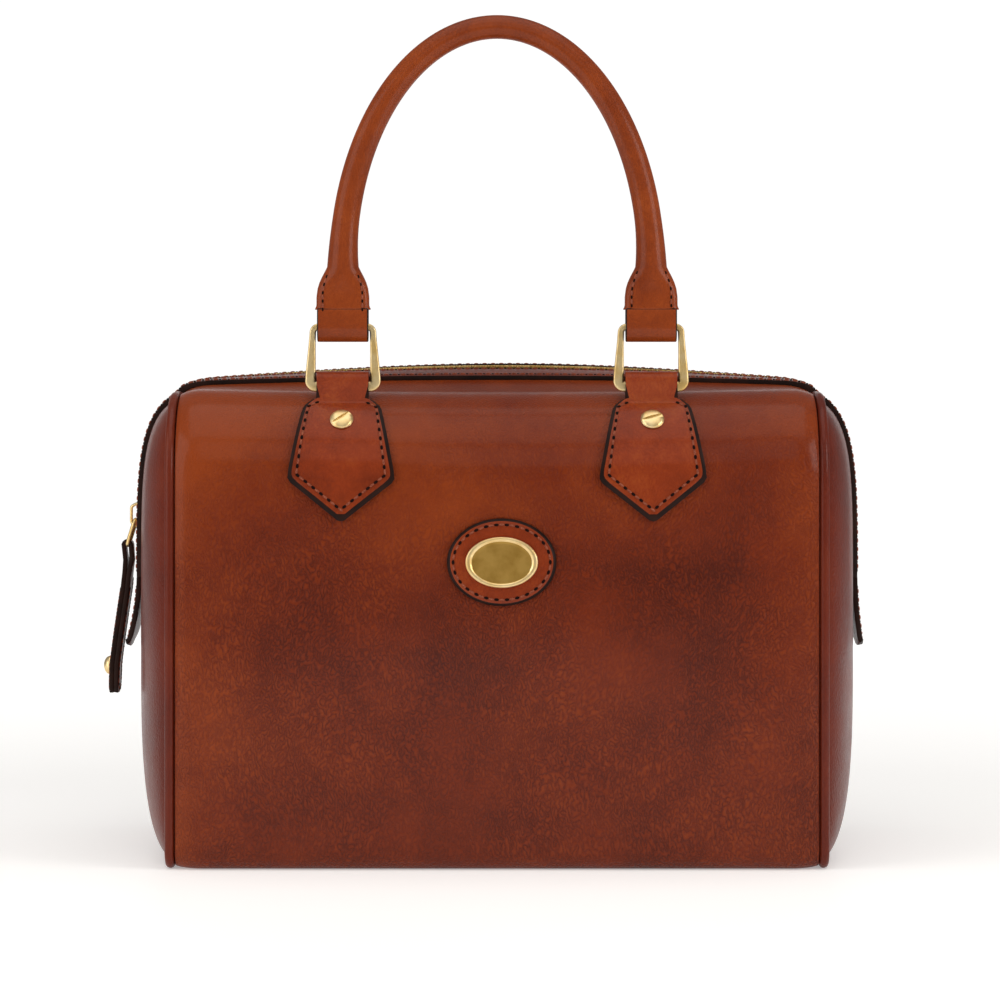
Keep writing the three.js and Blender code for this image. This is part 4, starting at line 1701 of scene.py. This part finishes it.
def dome(name: str, radius: float, height: float, foot: float, segments: int = 40) -> Piece:
    """Builds a low dome on a short foot, standing on z = 0, by spinning its profile.

    Args:
        name: The new object's name.
        radius: Its radius in millimetres.
        height: Its height over the foot.
        foot: The foot's height.
        segments: Faces round it.

    Returns:
        The new object.
    """
    rows = [(radius * 0.96, 0.0), (radius, 0.12), (radius, foot * 0.8), (radius * 0.97, foot)]
    for step in range(1, 12):
        angle = math.pi / 2 * step / 12
        rows.append((radius * 0.97 * math.cos(angle), foot + height * math.sin(angle) ** 1.1))
    rows = [(0.0, 0.0)] + rows + [(0.0, foot + height)]
    points = [Vector((r * MM, 0, z * MM)) for r, z in rows]
    piece = from_points(name, points, [], [(i, i + 1) for i in range(len(points) - 1)])
    make_active(piece)
    bpy.ops.object.mode_set(mode="EDIT")
    bpy.ops.mesh.select_all(action="SELECT")
    bpy.ops.mesh.spin(steps=segments, angle=2 * math.pi, center=(0, 0, 0), axis=(0, 0, 1))
    bpy.ops.mesh.select_all(action="SELECT")
    bpy.ops.mesh.remove_doubles(threshold=0.005 * MM)
    bpy.ops.mesh.normals_make_consistent(inside=False)
    bpy.ops.object.mode_set(mode="OBJECT")
    return piece


# Handles


@dataclass
class HandleSet:
    """One side's tabs, screws, rings, straps and rolled handle."""

    side: Side
    skin: Skin
    finishes: Finishes
    ring_turn: float
    handle_turn: float
    spread: float = 67.0
    loop_inner: float = 2.6
    loop_half: float = 11.2
    loop_along: float = 61.3
    loop_leave: float = 50.0
    tab_long: float = 61.5
    tab_half: float = 23.4
    shoulder_half: float = 17.0
    tip_share: float = 0.3
    tip_round: float = 3.0
    # The widest places and the shoulders are drawn in by a hair, so that their corners are soft
    soften: float = 0.35
    shoulder_low: float = 1.1
    shoulder_run: float = 4.6
    neck_more: float = 0.2
    stitch_inset: float = 3.9
    # The dark band's width along the sides and at the point, and how far its edge turns down: edge paint,
    # widened to take in painted shadow under the edges, most at the point
    paint_and_shadow_side: float = 1.6
    paint_and_shadow_low: float = 3.4
    paint_drop: float = 0.6
    screw_radius: float = 5.0
    screw_down: float = 17.9
    # The screw's slot: its width, and its turn in degrees on the left and the right
    slot_wide: float = 1.7
    slot_turn: tuple[float, float] = (38.0, 18.0)
    ring_tall: float = 26.1
    ring_half: float = 14.2
    ring_top_half: float = 13.1
    ring_corner: float = 2.5
    bar_low_half: float = 2.25
    bar_top_half: float = 1.4
    bar_deep: float = 1.6
    chape_half: float = 11.1
    chape_slack: float = 1.6
    loop_slack: float = 1.9
    chape_wall: float = 2.4
    flap_foot: float = 7.4
    arch_foot: float = 26.0
    arch_tall: float = 104.4
    grip_top: float = 5.2
    grip_side: float = 6.2
    # Half width of the flat foot, by the share of its height
    flap_rows: tuple[Pair, ...] = (
        (0, 11.5), (0.3, 11.5), (0.5, 11.0), (0.64, 10.2), (0.77, 9.1), (0.9, 7.8), (1, 6.9))
    flap_deep: float = 5.05
    # Angles round the handle's section: its seam, and the stitches beside it; then the seam's groove
    seam_at: float = 2.2
    stitch_turn: float = 0.34
    groove_deep: float = 0.35
    groove_wide: float = 0.16
    # The rings' hinge line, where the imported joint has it
    hinge_out: float = 62.9965
    hinge_high: float = 208.0077

    @property
    def loop_outer(self) -> float:
        """Outer radius of the tab's loop."""
        return self.loop_inner + LEATHER

    @property
    def loop_rise(self) -> float:
        """Height of the ring's lower bar over the skin."""
        return self.loop_outer + GAP

    @property
    def tip(self) -> float:
        """Distance round the section to the tab's tip."""
        return self.loop_along + self.tab_long

    @property
    def widest(self) -> float:
        """Distance round the section to the tab's widest place."""
        return self.tip - self.tip_share * self.tab_long

    @property
    def name(self) -> str:
        """The side's name in piece and node names."""
        return self.side.name.lower()

    def label(self, end: End) -> str:
        """Returns the side's and the end's names, as piece and node names have them."""
        return f"{self.name}_{end.name.lower()}"

    def pivot(self) -> Vector:
        """Returns the point of the rings' hinge line in the middle of the bag."""
        return Vector((0, -self.side.value * self.hinge_out, self.hinge_high))

    def ring_frame(self) -> Matrix:
        """Returns where the rings' own frame lies, in metres."""
        turn = Matrix.Rotation(math.radians(self.side.value * self.ring_turn), 4, "X")
        return Matrix.Translation(self.pivot() * MM) @ turn

    def handle_frame(self) -> Matrix:
        """Returns where the handle's own frame lies, in metres."""
        turn = Matrix.Rotation(math.radians(self.side.value * (self.handle_turn - self.ring_turn)), 4, "X")
        return self.ring_frame() @ Matrix.Translation((0, 0, self.ring_tall * MM)) @ turn

    def build(self) -> None:
        """Builds the set's pieces."""
        for end in End:
            self.tab(end)
            self.tab_stitches(end)
            self.screw(end)
            self.ring(end)
            self.chape(end)
        self.handle()

    def _tip_rows(self) -> list[Pair]:
        """Draws the tab from its rounded tip to its widest place.

        Returns:
            Distance round the section and half width of each row.
        """
        run = self.tip_share * self.tab_long
        lean = math.atan2(self.tab_half, run)
        sharp = self.tip_round / math.sin(lean)
        rows = []
        for step in range(14):
            down = (step / 13) ** 1.5 * run
            apex = down + sharp - self.tip_round
            if apex < sharp * math.cos(lean) ** 2:
                half = math.sqrt(max(0.0, self.tip_round ** 2 - (sharp - apex) ** 2))
            else:
                half = apex * math.tan(lean)
            rows.append((self.tip - down, min(half, self.tab_half - self.soften * ramp(down, run - 4, run))))
        return rows

    def _tab_rows(self) -> list[tuple[float, float, float, float]]:
        """Draws the tab's outer surface from the tip up to the loop and round it.

        Returns:
            Distance round the section, height and half width of each row, and 1 on the skin or 0 in the loop.
        """
        leave = math.radians(self.loop_leave)
        middle = self.loop_inner + LEATHER / 2
        lift = self.loop_rise + middle * math.cos(leave) - GAP - LEATHER / 2
        join = self.loop_along + middle * math.sin(leave) + lift / math.tan(leave)
        shoulder = join - self.shoulder_low
        neck = self.loop_half + self.neck_more
        flat = self._tip_rows()
        for step in range(1, 25):
            share = step / 24
            half = mix(self.tab_half, self.shoulder_half, share) - self.soften * ramp(1 - share, 0.86, 1.0)
            flat.append((mix(self.widest, shoulder + self.shoulder_run, share), half))
        for step in range(1, 9):
            angle = math.pi / 2 * step / 8
            flat.append((shoulder + self.shoulder_run - self.shoulder_run * math.sin(angle),
                         mix(neck, self.shoulder_half - self.soften, math.cos(angle))))
        flat.append((shoulder - 0.3, neck))
        # Past the join, the tab rises off the skin to meet its loop
        steep = math.tan(leave)
        rows = [(along, GAP + LEATHER + max(0.0, join - along) * steep, half, 1.0) for along, half in flat]
        for step in range(31):
            angle = math.radians(mix(self.loop_leave, -220, step / 30))
            slack = self.loop_slack * ramp(-angle, -0.7, 0.0) * ramp(angle, -2.1, -0.9)
            rows.append((self.loop_along + self.loop_outer * math.sin(angle),
                         self.loop_rise + slack + self.loop_outer * math.cos(angle), self.loop_half, 0.0))
        return rows

    def tab(self, end: End) -> None:
        """Builds the pointed tab with its loop and painted edge.

        Args:
            end: The end of the bag.
        """
        rows = self._tab_rows()
        columns = 24
        last = 1 - 2 / columns
        middle = end.value * self.spread
        sign = self.side.value

        def place(u: float, v: float) -> Vector:
            """Lays the grid up the tab; the outermost columns are the painted band, a little lower.

            Args:
                u: Across, -1 to 1.
                v: Along, -1 to 1.

            Returns:
                The point.
            """
            along, height, half, spread = rows[round((v + 1) / 2 * (len(rows) - 1))]
            band = mix(self.paint_and_shadow_side, self.paint_and_shadow_low, ramp(along, self.widest - 2, self.widest + 2))
            inside = max(0.02 * half, half - band * spread)
            offset = math.copysign(inside * min(1.0, abs(u) / last), u)
            if abs(u) > last + 0.01:
                offset = math.copysign(half, u)
                height -= self.paint_drop * spread
            spot = self.skin.on(middle + offset * spread, sign * along, height)
            return Vector((middle + offset, spot.y, spot.z))

        def painted(face: bpy.types.MeshPolygon) -> bool:
            """Tells whether a face lies at the tab's edge or tip.

            Args:
                face: The face.

            Returns:
                True if it does.
            """
            spot = sum((piece.data.uv_layers[0].data[i].uv for i in face.loop_indices), Vector((0, 0)))
            spot /= face.loop_total
            row = rows[int(spot.y * (len(rows) - 1))]
            at_tip = row[3] > 0 and row[0] > self.widest and row[2] < self.paint_and_shadow_low + 0.4
            return at_tip or not 0.9 / columns < spot.x < 1 - 0.9 / columns

        facing = Vector((0, -sign, 0))
        label = self.label(end)
        piece = laid_grid(f"tab_{label}", columns, len(rows) - 1, place, facing)
        low = min(piece.data.polygons, key=lambda face: face.center.z)
        if low.normal.dot(facing) < 0:
            edit(piece, bpy.ops.mesh.flip_normals)
        # The edge band takes the edge paint, which also stands for painted shadow under the edges
        paint_faces(piece, painted)
        thicken(piece, self.finishes.edged_patch, LEATHER, 0.0)
        finish_piece(piece, "bag", self.finishes.edged_patch, [f"handle_tab_{label}"], 50)

    def tab_stitches(self, end: End) -> None:
        """Builds the stitches inside the tab's edge, from shoulder to shoulder round the tip.

        Args:
            end: The end of the bag.
        """
        middle = end.value * self.spread
        shoulder = self.loop_along + 7.2
        outline = [(-self.loop_half + 0.5, shoulder), (-self.shoulder_half, shoulder),
                   (-self.tab_half, self.widest), (0, self.tip), (self.tab_half, self.widest),
                   (self.shoulder_half, shoulder), (self.loop_half - 0.5, shoulder)]
        inner = inset_path([(x, -along) for x, along in outline], self.stitch_inset)
        for hand, outer, corner in ((-1, 0, 1), (1, -1, -2)):
            inner[outer] = (hand * (self.loop_half - 0.3), -shoulder - 1.2)
            inner[corner] = (hand * (self.shoulder_half - 2.4), -shoulder - 3.8)
        run = []
        for x, down in dotted(inner, 12):
            along = self.side.value * -down
            spot = self.skin.on(middle + x, along, GAP + LEATHER + 0.1)
            run.append((spot, self.skin.normal(middle + x, along)))
        seam = Seam(pitch=4.3).build(f"tab_stitches_{self.label(end)}", [run])
        finish_piece(seam, "bag", self.finishes.stitched)

    def screw(self, end: End) -> None:
        """Builds the slotted brass screw on a tab.

        Args:
            end: The end of the bag.
        """
        label = self.label(end)
        piece = dome(f"screw_{label}", self.screw_radius, 1.5, 0.5)
        bpy.ops.mesh.primitive_cube_add(size=1)
        cutter = bpy.context.active_object
        for point in cutter.data.vertices:
            x, y, z = point.co
            point.co = Vector((x * 12, y * self.slot_wide, 0.9 + (z + 0.5) * 3)) * MM
        turn = self.slot_turn[0 if end is End.LEFT else 1]
        cutter.data.transform(Matrix.Rotation(math.radians(turn), 4, "Z"))
        apply_modifier(piece, "BOOLEAN", object=cutter, operation="DIFFERENCE", solver="EXACT")
        bpy.data.objects.remove(cutter)
        x = end.value * self.spread
        along = self.side.value * (self.loop_along + self.screw_down)
        spot = self.skin.on(x, along, GAP + LEATHER + 0.02)
        piece.data.transform(standing(spot, self.skin.normal(x, along)))
        finish_piece(piece, "bag", [self.finishes.brass], [f"tab_screw_{label}"], 35)

    def ring(self, end: End) -> None:
        """Builds a square brass ring with round corners.

        Args:
            end: The end of the bag.
        """
        label = self.label(end)
        top = Vector((end.value * self.spread, 0, self.ring_tall))
        path = round_loop(top, Vector((0, 0, -1)), Vector((1, 0, 0)), self.ring_tall, self.ring_top_half,
                          self.ring_corner, self.ring_half)
        halves = []
        for spot in path:
            halves.append(mix(self.bar_low_half, self.bar_top_half, ramp(spot.z, 2, self.ring_tall - 2)))
        piece = tube(f"square_ring_{label}", path, self.bar_deep, 28, Vector((0, 1, 0)), closed=True,
                     squash=[half / self.bar_deep for half in halves], square=4.5)
        piece.data.transform(self.ring_frame())
        finish_piece(piece, f"{self.name}_rings", [self.finishes.brass],
                     [f"ring_{label}"], 60)

    def chape(self, end: End) -> None:
        """Builds the folded strap that holds a ring, with painted edges.

        Args:
            end: The end of the bag.
        """
        label = self.label(end)
        middle = end.value * self.spread
        outer = self.loop_inner + self.chape_wall
        top = self.flap_foot + 0.6
        profile = [(outer, mix(top, 0, step / 6)) for step in range(6)]
        for step in range(19):
            angle = -math.pi * step / 18
            profile.append((outer * math.cos(angle), (outer + self.chape_slack) * math.sin(angle)))
        profile += [(-outer, mix(0, top, step / 6)) for step in range(1, 7)]

        def place(u: float, v: float) -> Vector:
            """Lays the grid down the back, under the bar and up the front."""
            y, z = profile[round((v + 1) / 2 * (len(profile) - 1))]
            return Vector((middle + u * self.chape_half, y, z))

        piece = laid_grid(f"ring_strap_{label}", 10, len(profile) - 1, place)
        low = min(piece.data.polygons, key=lambda face: face.center.z)
        if low.normal.z > 0:
            edit(piece, bpy.ops.mesh.flip_normals)
        thicken(piece, self.finishes.edged_handle, self.chape_wall, 0.5, 3)
        piece.data.transform(self.handle_frame())
        finish_piece(piece, f"{self.name}_grip", self.finishes.edged_handle,
                     [f"handle_loop_{label}"], 50)

    def _stations(self) -> list[tuple[float, ...]]:
        """Draws the handle's sections, from one foot over the arch to the other.

        Returns:
            x, z, half width, half depth, squareness and turn of each section.
        """
        rows = []
        for step in range(23):
            up = step / 22
            width = along_table(self.flap_rows, up) + 0.9 * max(0.0, 1 - up / 0.12) ** 2
            deep = mix(self.flap_deep, self.grip_side, ramp(up, 0.25, 1.0))
            square = mix(4.5, 2.0, ramp(up, 0.25, 0.9))
            rows.append((self.spread, mix(self.flap_foot, self.arch_foot, up), width, deep, square, 0.0))
        steps = 110
        for step in range(1, steps):
            angle = math.pi * step / steps
            grip = mix(self.grip_side, self.grip_top, math.sin(angle) ** 0.7)
            grip += 0.7 * max(0.0, 1 - min(step, steps - step) / 7) ** 1.5
            turn = math.atan2(self.spread * math.sin(angle), self.arch_tall * math.cos(angle))
            high = self.arch_foot + self.arch_tall * math.sin(angle)
            rows.append((self.spread * math.cos(angle), high, grip, grip, 2.0, turn))
        return rows + [(-row[0], *row[1:5], math.pi) for row in reversed(rows[:23])]

    def _handle_spot(self, station: tuple[float, ...], angle: float, lift: float = 0.0) -> Vector:
        """Gives a point of the handle's surface at a section and an angle.

        Args:
            station: A section of the handle.
            angle: Angle round the section.
            lift: Height over the surface.

        Returns:
            The point in millimetres.
        """
        x, z, wide, deep, square, turn = station
        cos, sin = math.cos(angle), math.sin(angle)
        out = (wide + lift) * math.copysign(abs(cos) ** (2 / square), cos)
        thick = (deep + lift) * math.copysign(abs(sin) ** (2 / square), sin)
        return Vector((x + out * math.cos(turn), thick, z + out * math.sin(turn)))

    def handle(self) -> None:
        """Builds the rolled handle with its flat feet, seam and stitches."""
        rows = self._stations()
        sides = 36

        def place(u: float, v: float) -> Vector:
            """Lays the grid round the handle, with a shallow groove at the seam on the inner side.

            Args:
                u: Across, -1 to 1.
                v: Along, -1 to 1.

            Returns:
                The point.
            """
            station = rows[round((v + 1) / 2 * (len(rows) - 1))]
            angle = (u + 1) * math.pi
            groove = self.groove_deep * math.exp(-((angle - self.seam_at) / self.groove_wide) ** 2)
            squareness = station[4]
            return self._handle_spot(station, angle, -groove if squareness < 2.2 else 0.0)

        piece = laid_grid(f"grip_{self.name}", sides, len(rows) - 1, place)
        close_ends(piece)
        foot, outer = self.flap_foot * MM, (self.spread + 9) * MM
        paint_faces(piece, lambda face: face.center.z < foot and abs(face.center.x) > outer)
        apply_modifier(piece, "BEVEL", width=0.5 * MM, segments=2, limit_method="ANGLE",
                       angle_limit=math.radians(60))
        piece.data.transform(self.handle_frame())
        finish_piece(piece, f"{self.name}_grip", self.finishes.edged_handle,
                     [f"handle_{self.name}"], 55)
        self._handle_stitches(rows)

    def _handle_stitches(self, rows: Sequence[tuple[float, ...]]) -> None:
        """Builds the seam's stitches along the inner side, and the rows near the edges of the flat feet.

        Args:
            rows: The handle's sections.
        """
        arch = []
        at = self.seam_at + self.stitch_turn
        for station in rows[20:-20]:
            spot = self._handle_spot(station, at, 0.05)
            arch.append((spot, (self._handle_spot(station, at, 1.0) - spot).normalized()))
        runs = [arch]
        for foot in (rows[:20], rows[-20:]):
            for face in (-1, 1):
                for edge in (-1, 1):
                    run = []
                    for x, z, wide, deep, square, _ in foot[2:]:
                        across = min(0.76 * wide, 8.6)
                        lean = 1 - abs(across / wide) ** square
                        y = face * (deep * max(0.0, lean) ** (1 / square) + 0.08)
                        run.append((Vector((x + edge * across, y, z)), Vector((0, face, 0))))
                    runs.append(run)
        seam = Seam(pitch=4.0, length=2.3, hole_shade=1.6, hole_shade_width=1.0).build(f"grip_stitches_{self.name}", runs)
        seam.data.transform(self.handle_frame())
        finish_piece(seam, f"{self.name}_grip", self.finishes.stitched)


def standing(spot: Vector, normal: Vector) -> Matrix:
    """Gives the matrix, in metres, that stands a mesh's +Z along a normal at a point in millimetres.

    Args:
        spot: A point in millimetres.
        normal: Which way is up there.

    Returns:
        The matrix in metres.
    """
    side = Vector((1, 0, 0))
    side = (side - normal * side.dot(normal)).normalized()
    turn = Matrix((side, normal.cross(side), normal)).transposed().to_4x4()
    return Matrix.Translation(spot * MM) @ turn


# The badge


@dataclass
class Badge:
    """Oval leather patch, stitched near its edge, with a plain brass plate."""

    skin: Skin
    finishes: Finishes
    x: float = 2.0
    height: float = 133.0
    patch_half: tuple[float, float] = (23.5, 18.75)
    patch_thick: float = 2.0
    plate_half: tuple[float, float] = (15.6, 10.9)
    plate_thick: float = 1.1
    plate_rim: float = 0.6
    field_share: float = 0.83
    stitches: int = 26
    stitch_inset: float = 2.7

    @property
    def top(self) -> float:
        """Height of the patch's outer face over the skin."""
        return GAP + self.patch_thick

    def build(self) -> None:
        """Builds the patch, its stitches and the plate."""
        self.patch()
        self.patch_stitches()
        self.plate()

    def patch(self) -> None:
        """Builds the leather oval, with a rounded edge."""
        top = self.top
        piece = self._oval("patch", self.patch_half, [
            (0.0, top), (0.3, top), (0.6, top), (0.85, top), (0.94, top - 0.02), (0.952, top - 0.24),
            (0.985, top - 0.7), (1.0, top - 1.2), (0.995, GAP + 0.4), (0.97, GAP), (0.5, GAP), (0.0, GAP)])
        paint_faces(piece, lambda face: abs(face.normal.y) < 0.9)
        finish_piece(piece, "bag", self.finishes.edged_patch, ["badge_patch"], 60)

    def patch_stitches(self) -> None:
        """Builds the oval row of stitches."""
        run = []
        wide, tall = self.patch_half[0] - self.stitch_inset, self.patch_half[1] - self.stitch_inset
        for step in range(self.stitches * 8 + 1):
            angle = 2 * math.pi * step / (self.stitches * 8)
            run.append(self._spot(wide * math.cos(angle), tall * math.sin(angle), self.top + 0.1))
        whole = sum((b[0] - a[0]).length for a, b in zip(run, run[1:]))
        seam = Seam(pitch=whole / self.stitches).build("patch_stitches", [run], True)
        finish_piece(seam, "bag", self.finishes.stitched)

    def plate(self) -> None:
        """Builds the brass plate: a plain, aged field in a bright raised rim."""
        low = self.top + 0.05
        high = 2 * GAP + self.patch_thick + self.plate_thick
        rim = high + self.plate_rim
        piece = self._oval("plain_plate", self.plate_half, [
            (0.0, high), (0.4, high), (0.7, high), (0.82, high), (0.845, high + 0.1), (0.865, rim - 0.1),
            (0.885, rim), (0.935, rim + 0.04), (0.965, rim - 0.05), (0.985, rim - 0.3), (1.0, rim - 0.7),
            (1.0, low + 0.1), (0.99, low), (0.5, low), (0.0, low)])

        def in_field(face: bpy.types.MeshPolygon) -> bool:
            """Tells whether a face lies inside the rim."""
            spot = Vector((face.center.x / MM - self.x, face.center.z / MM - self.height))
            return math.hypot(spot.x / self.plate_half[0], spot.y / self.plate_half[1]) < self.field_share

        paint_faces(piece, in_field)
        materials = [self.finishes.brass, self.finishes.antique]
        finish_piece(piece, "bag", materials, ["badge_plate"], 45)

    def _spot(self, x: float, z: float, height: float) -> tuple[Vector, Vector]:
        """Returns a point over the front, and its normal, at a place measured from the badge's middle."""
        along = self.skin.front_along(self.height + z)
        return self.skin.on(self.x + x, along, height), self.skin.normal(self.x + x, along)

    def _oval(self, name: str, half: Pair, profile: Sequence[Pair], sides: int = 96) -> Piece:
        """Builds an oval piece on the front.

        Args:
            name: The new object's name.
            half: Its half width and half height.
            profile: Shares of the half sizes with heights over the skin, from the middle out and back.
            sides: Faces round it.

        Returns:
            The new object.
        """
        def place(u: float, v: float) -> Vector:
            """Lays the grid round the oval and over its profile.

            Args:
                u: Across, -1 to 1.
                v: Along, -1 to 1.

            Returns:
                The point.
            """
            share, height = profile[round((v + 1) / 2 * (len(profile) - 1))]
            angle = (u + 1) * math.pi
            return self._spot(half[0] * share * math.cos(angle), half[1] * share * math.sin(angle), height)[0]

        return laid_grid(name, sides, len(profile) - 1, place)


# The studio


@dataclass
class Studio:
    """Pale floor, soft boxes and the photo's camera. Places are metres, and the lens is in millimetres."""

    distance: float = 1.6
    height: float = 0.224
    lens: float = 134.0
    shift_x: float = 0.003
    shift_y: float = -0.15
    front: float = -0.082
    room_front: float = 0.14
    room_side: float = 0.26
    room_back: float = 1.06

    def build(self) -> None:
        """Builds the floor, the lights, the world and the camera."""
        bpy.context.scene.view_settings.view_transform = "Standard"
        self.floor()
        self.lights()
        self.world()
        self.camera()

    def floor(self) -> None:
        """Lays a plain pale floor."""
        bpy.ops.object.select_all(action="DESELECT")
        bpy.ops.mesh.primitive_circle_add(vertices=96, radius=1.25, fill_type="NGON")
        floor = bpy.context.active_object
        floor.name = "floor"
        material, tree, shader, place = new_tree("pale_painted_floor")
        cloud = add_node(tree, "TexNoise", {"Vector": place, "Scale": 2.0, "Detail": 2.0})
        colour = add_ramp(tree, cloud.outputs["Fac"], [(0.3, "#F1F0EE"), (0.7, "#F6F5F4")])
        # Far from the lamps the floor glows more, so that its edge fades into the white wall
        away = add_node(tree, "VectorMath", {0: place}, operation="LENGTH").outputs["Value"]
        glow = add_node(tree, "MapRange", {
            "Value": away, "From Min": 0.35, "From Max": 1.1, "To Min": 0.34, "To Max": 0.72})
        feed(tree, shader, {
            "Base Color": colour, "Roughness": 0.55, "Emission Color": linear("#FFFFFF"),
            "Emission Strength": glow.outputs["Result"]})
        floor.data.materials.append(material)

    def lights(self) -> None:
        """Hangs soft boxes left, right, above and in front."""
        # Name, place and aim in metres, size in metres, and power in watts
        rows = [
            ("left_box", (-1.0, -0.6, 0.5), (0, 0, 0.12), 0.9, 5.3),
            ("right_box", (1.0, -0.6, 0.5), (0, 0, 0.12), 0.6, 5.2),
            ("top_box", (0.0, -0.35, 1.5), (0, 0, 0.15), 1.6, 11.4),
            ("front_box", (0.0, -1.9, 1.1), (0, 0, 0.2), 1.0, 3.0),
        ]
        for name, place, aim, size, power in rows:
            lamp = bpy.data.lights.new(name, "AREA")
            lamp.shape = "SQUARE"
            lamp.size = size
            lamp.energy = power
            lamp.color = (1.0, 0.97, 0.93)
            holder = bpy.data.objects.new(name, lamp)
            holder.location = place
            holder.rotation_euler = (Vector(aim) - Vector(place)).to_track_quat("-Z", "Y").to_euler()
            bpy.context.scene.collection.objects.link(holder)

    def world(self) -> None:
        """Fills the room with pale light."""
        world = bpy.data.worlds.new("pale_room")
        bpy.context.scene.world = world
        world.use_nodes = True
        tree = world.node_tree
        tree.nodes.clear()
        way = add_node(tree, "TexCoord").outputs["Generated"]
        deep = add_node(tree, "SeparateXYZ", {"Vector": way}).outputs["Y"]
        room = add_node(tree, "MapRange", {
            "Value": deep, "From Min": -0.9, "From Max": 0.3,
            "To Min": self.room_front, "To Max": self.room_side})
        # Straight behind the bag the camera sees a white wall
        wall = add_node(tree, "MapRange", {
            "Value": deep, "From Min": 0.92, "From Max": 0.972,
            "To Min": 0.0, "To Max": self.room_back - self.room_side})
        light = add_node(tree, "Math", {0: room.outputs["Result"], 1: wall.outputs["Result"]},
                         operation="ADD")
        back = add_node(tree, "Background", {
            "Color": linear("#FEFDFC"), "Strength": light.outputs[0]})
        add_node(tree, "OutputWorld", {"Surface": back.outputs["Background"]})

    def camera(self) -> None:
        """Sets up the photo's camera: level, in front of the bag, with the horizon above the middle."""
        data = bpy.data.cameras.new("photo_camera")
        data.lens = self.lens
        data.sensor_width = 36
        data.shift_x = self.shift_x
        data.shift_y = self.shift_y
        camera = bpy.data.objects.new("photo_camera", data)
        camera.location = (0, self.front - self.distance, self.height)
        camera.rotation_euler = (math.pi / 2, 0, 0)
        bpy.context.scene.collection.objects.link(camera)
        bpy.context.scene.camera = camera


def main() -> None:
    """Builds the bag's looks piece by piece."""
    logging.basicConfig(level=logging.INFO, format="%(name)s %(message)s")
    bpy.ops.object.select_all(action="DESELECT")
    finishes = Finishes()
    skin = Skin()
    ends = EndShape(skin)
    Body(skin, ends, finishes).build()
    Zip(skin, ends, finishes).build()
    HandleSet(Side.FRONT, skin, finishes, 0, 0).build()
    HandleSet(Side.BACK, skin, finishes, 95, 172).build()
    Badge(skin, finishes).build()
    Studio().build()


if __name__ == "__main__":
    main()
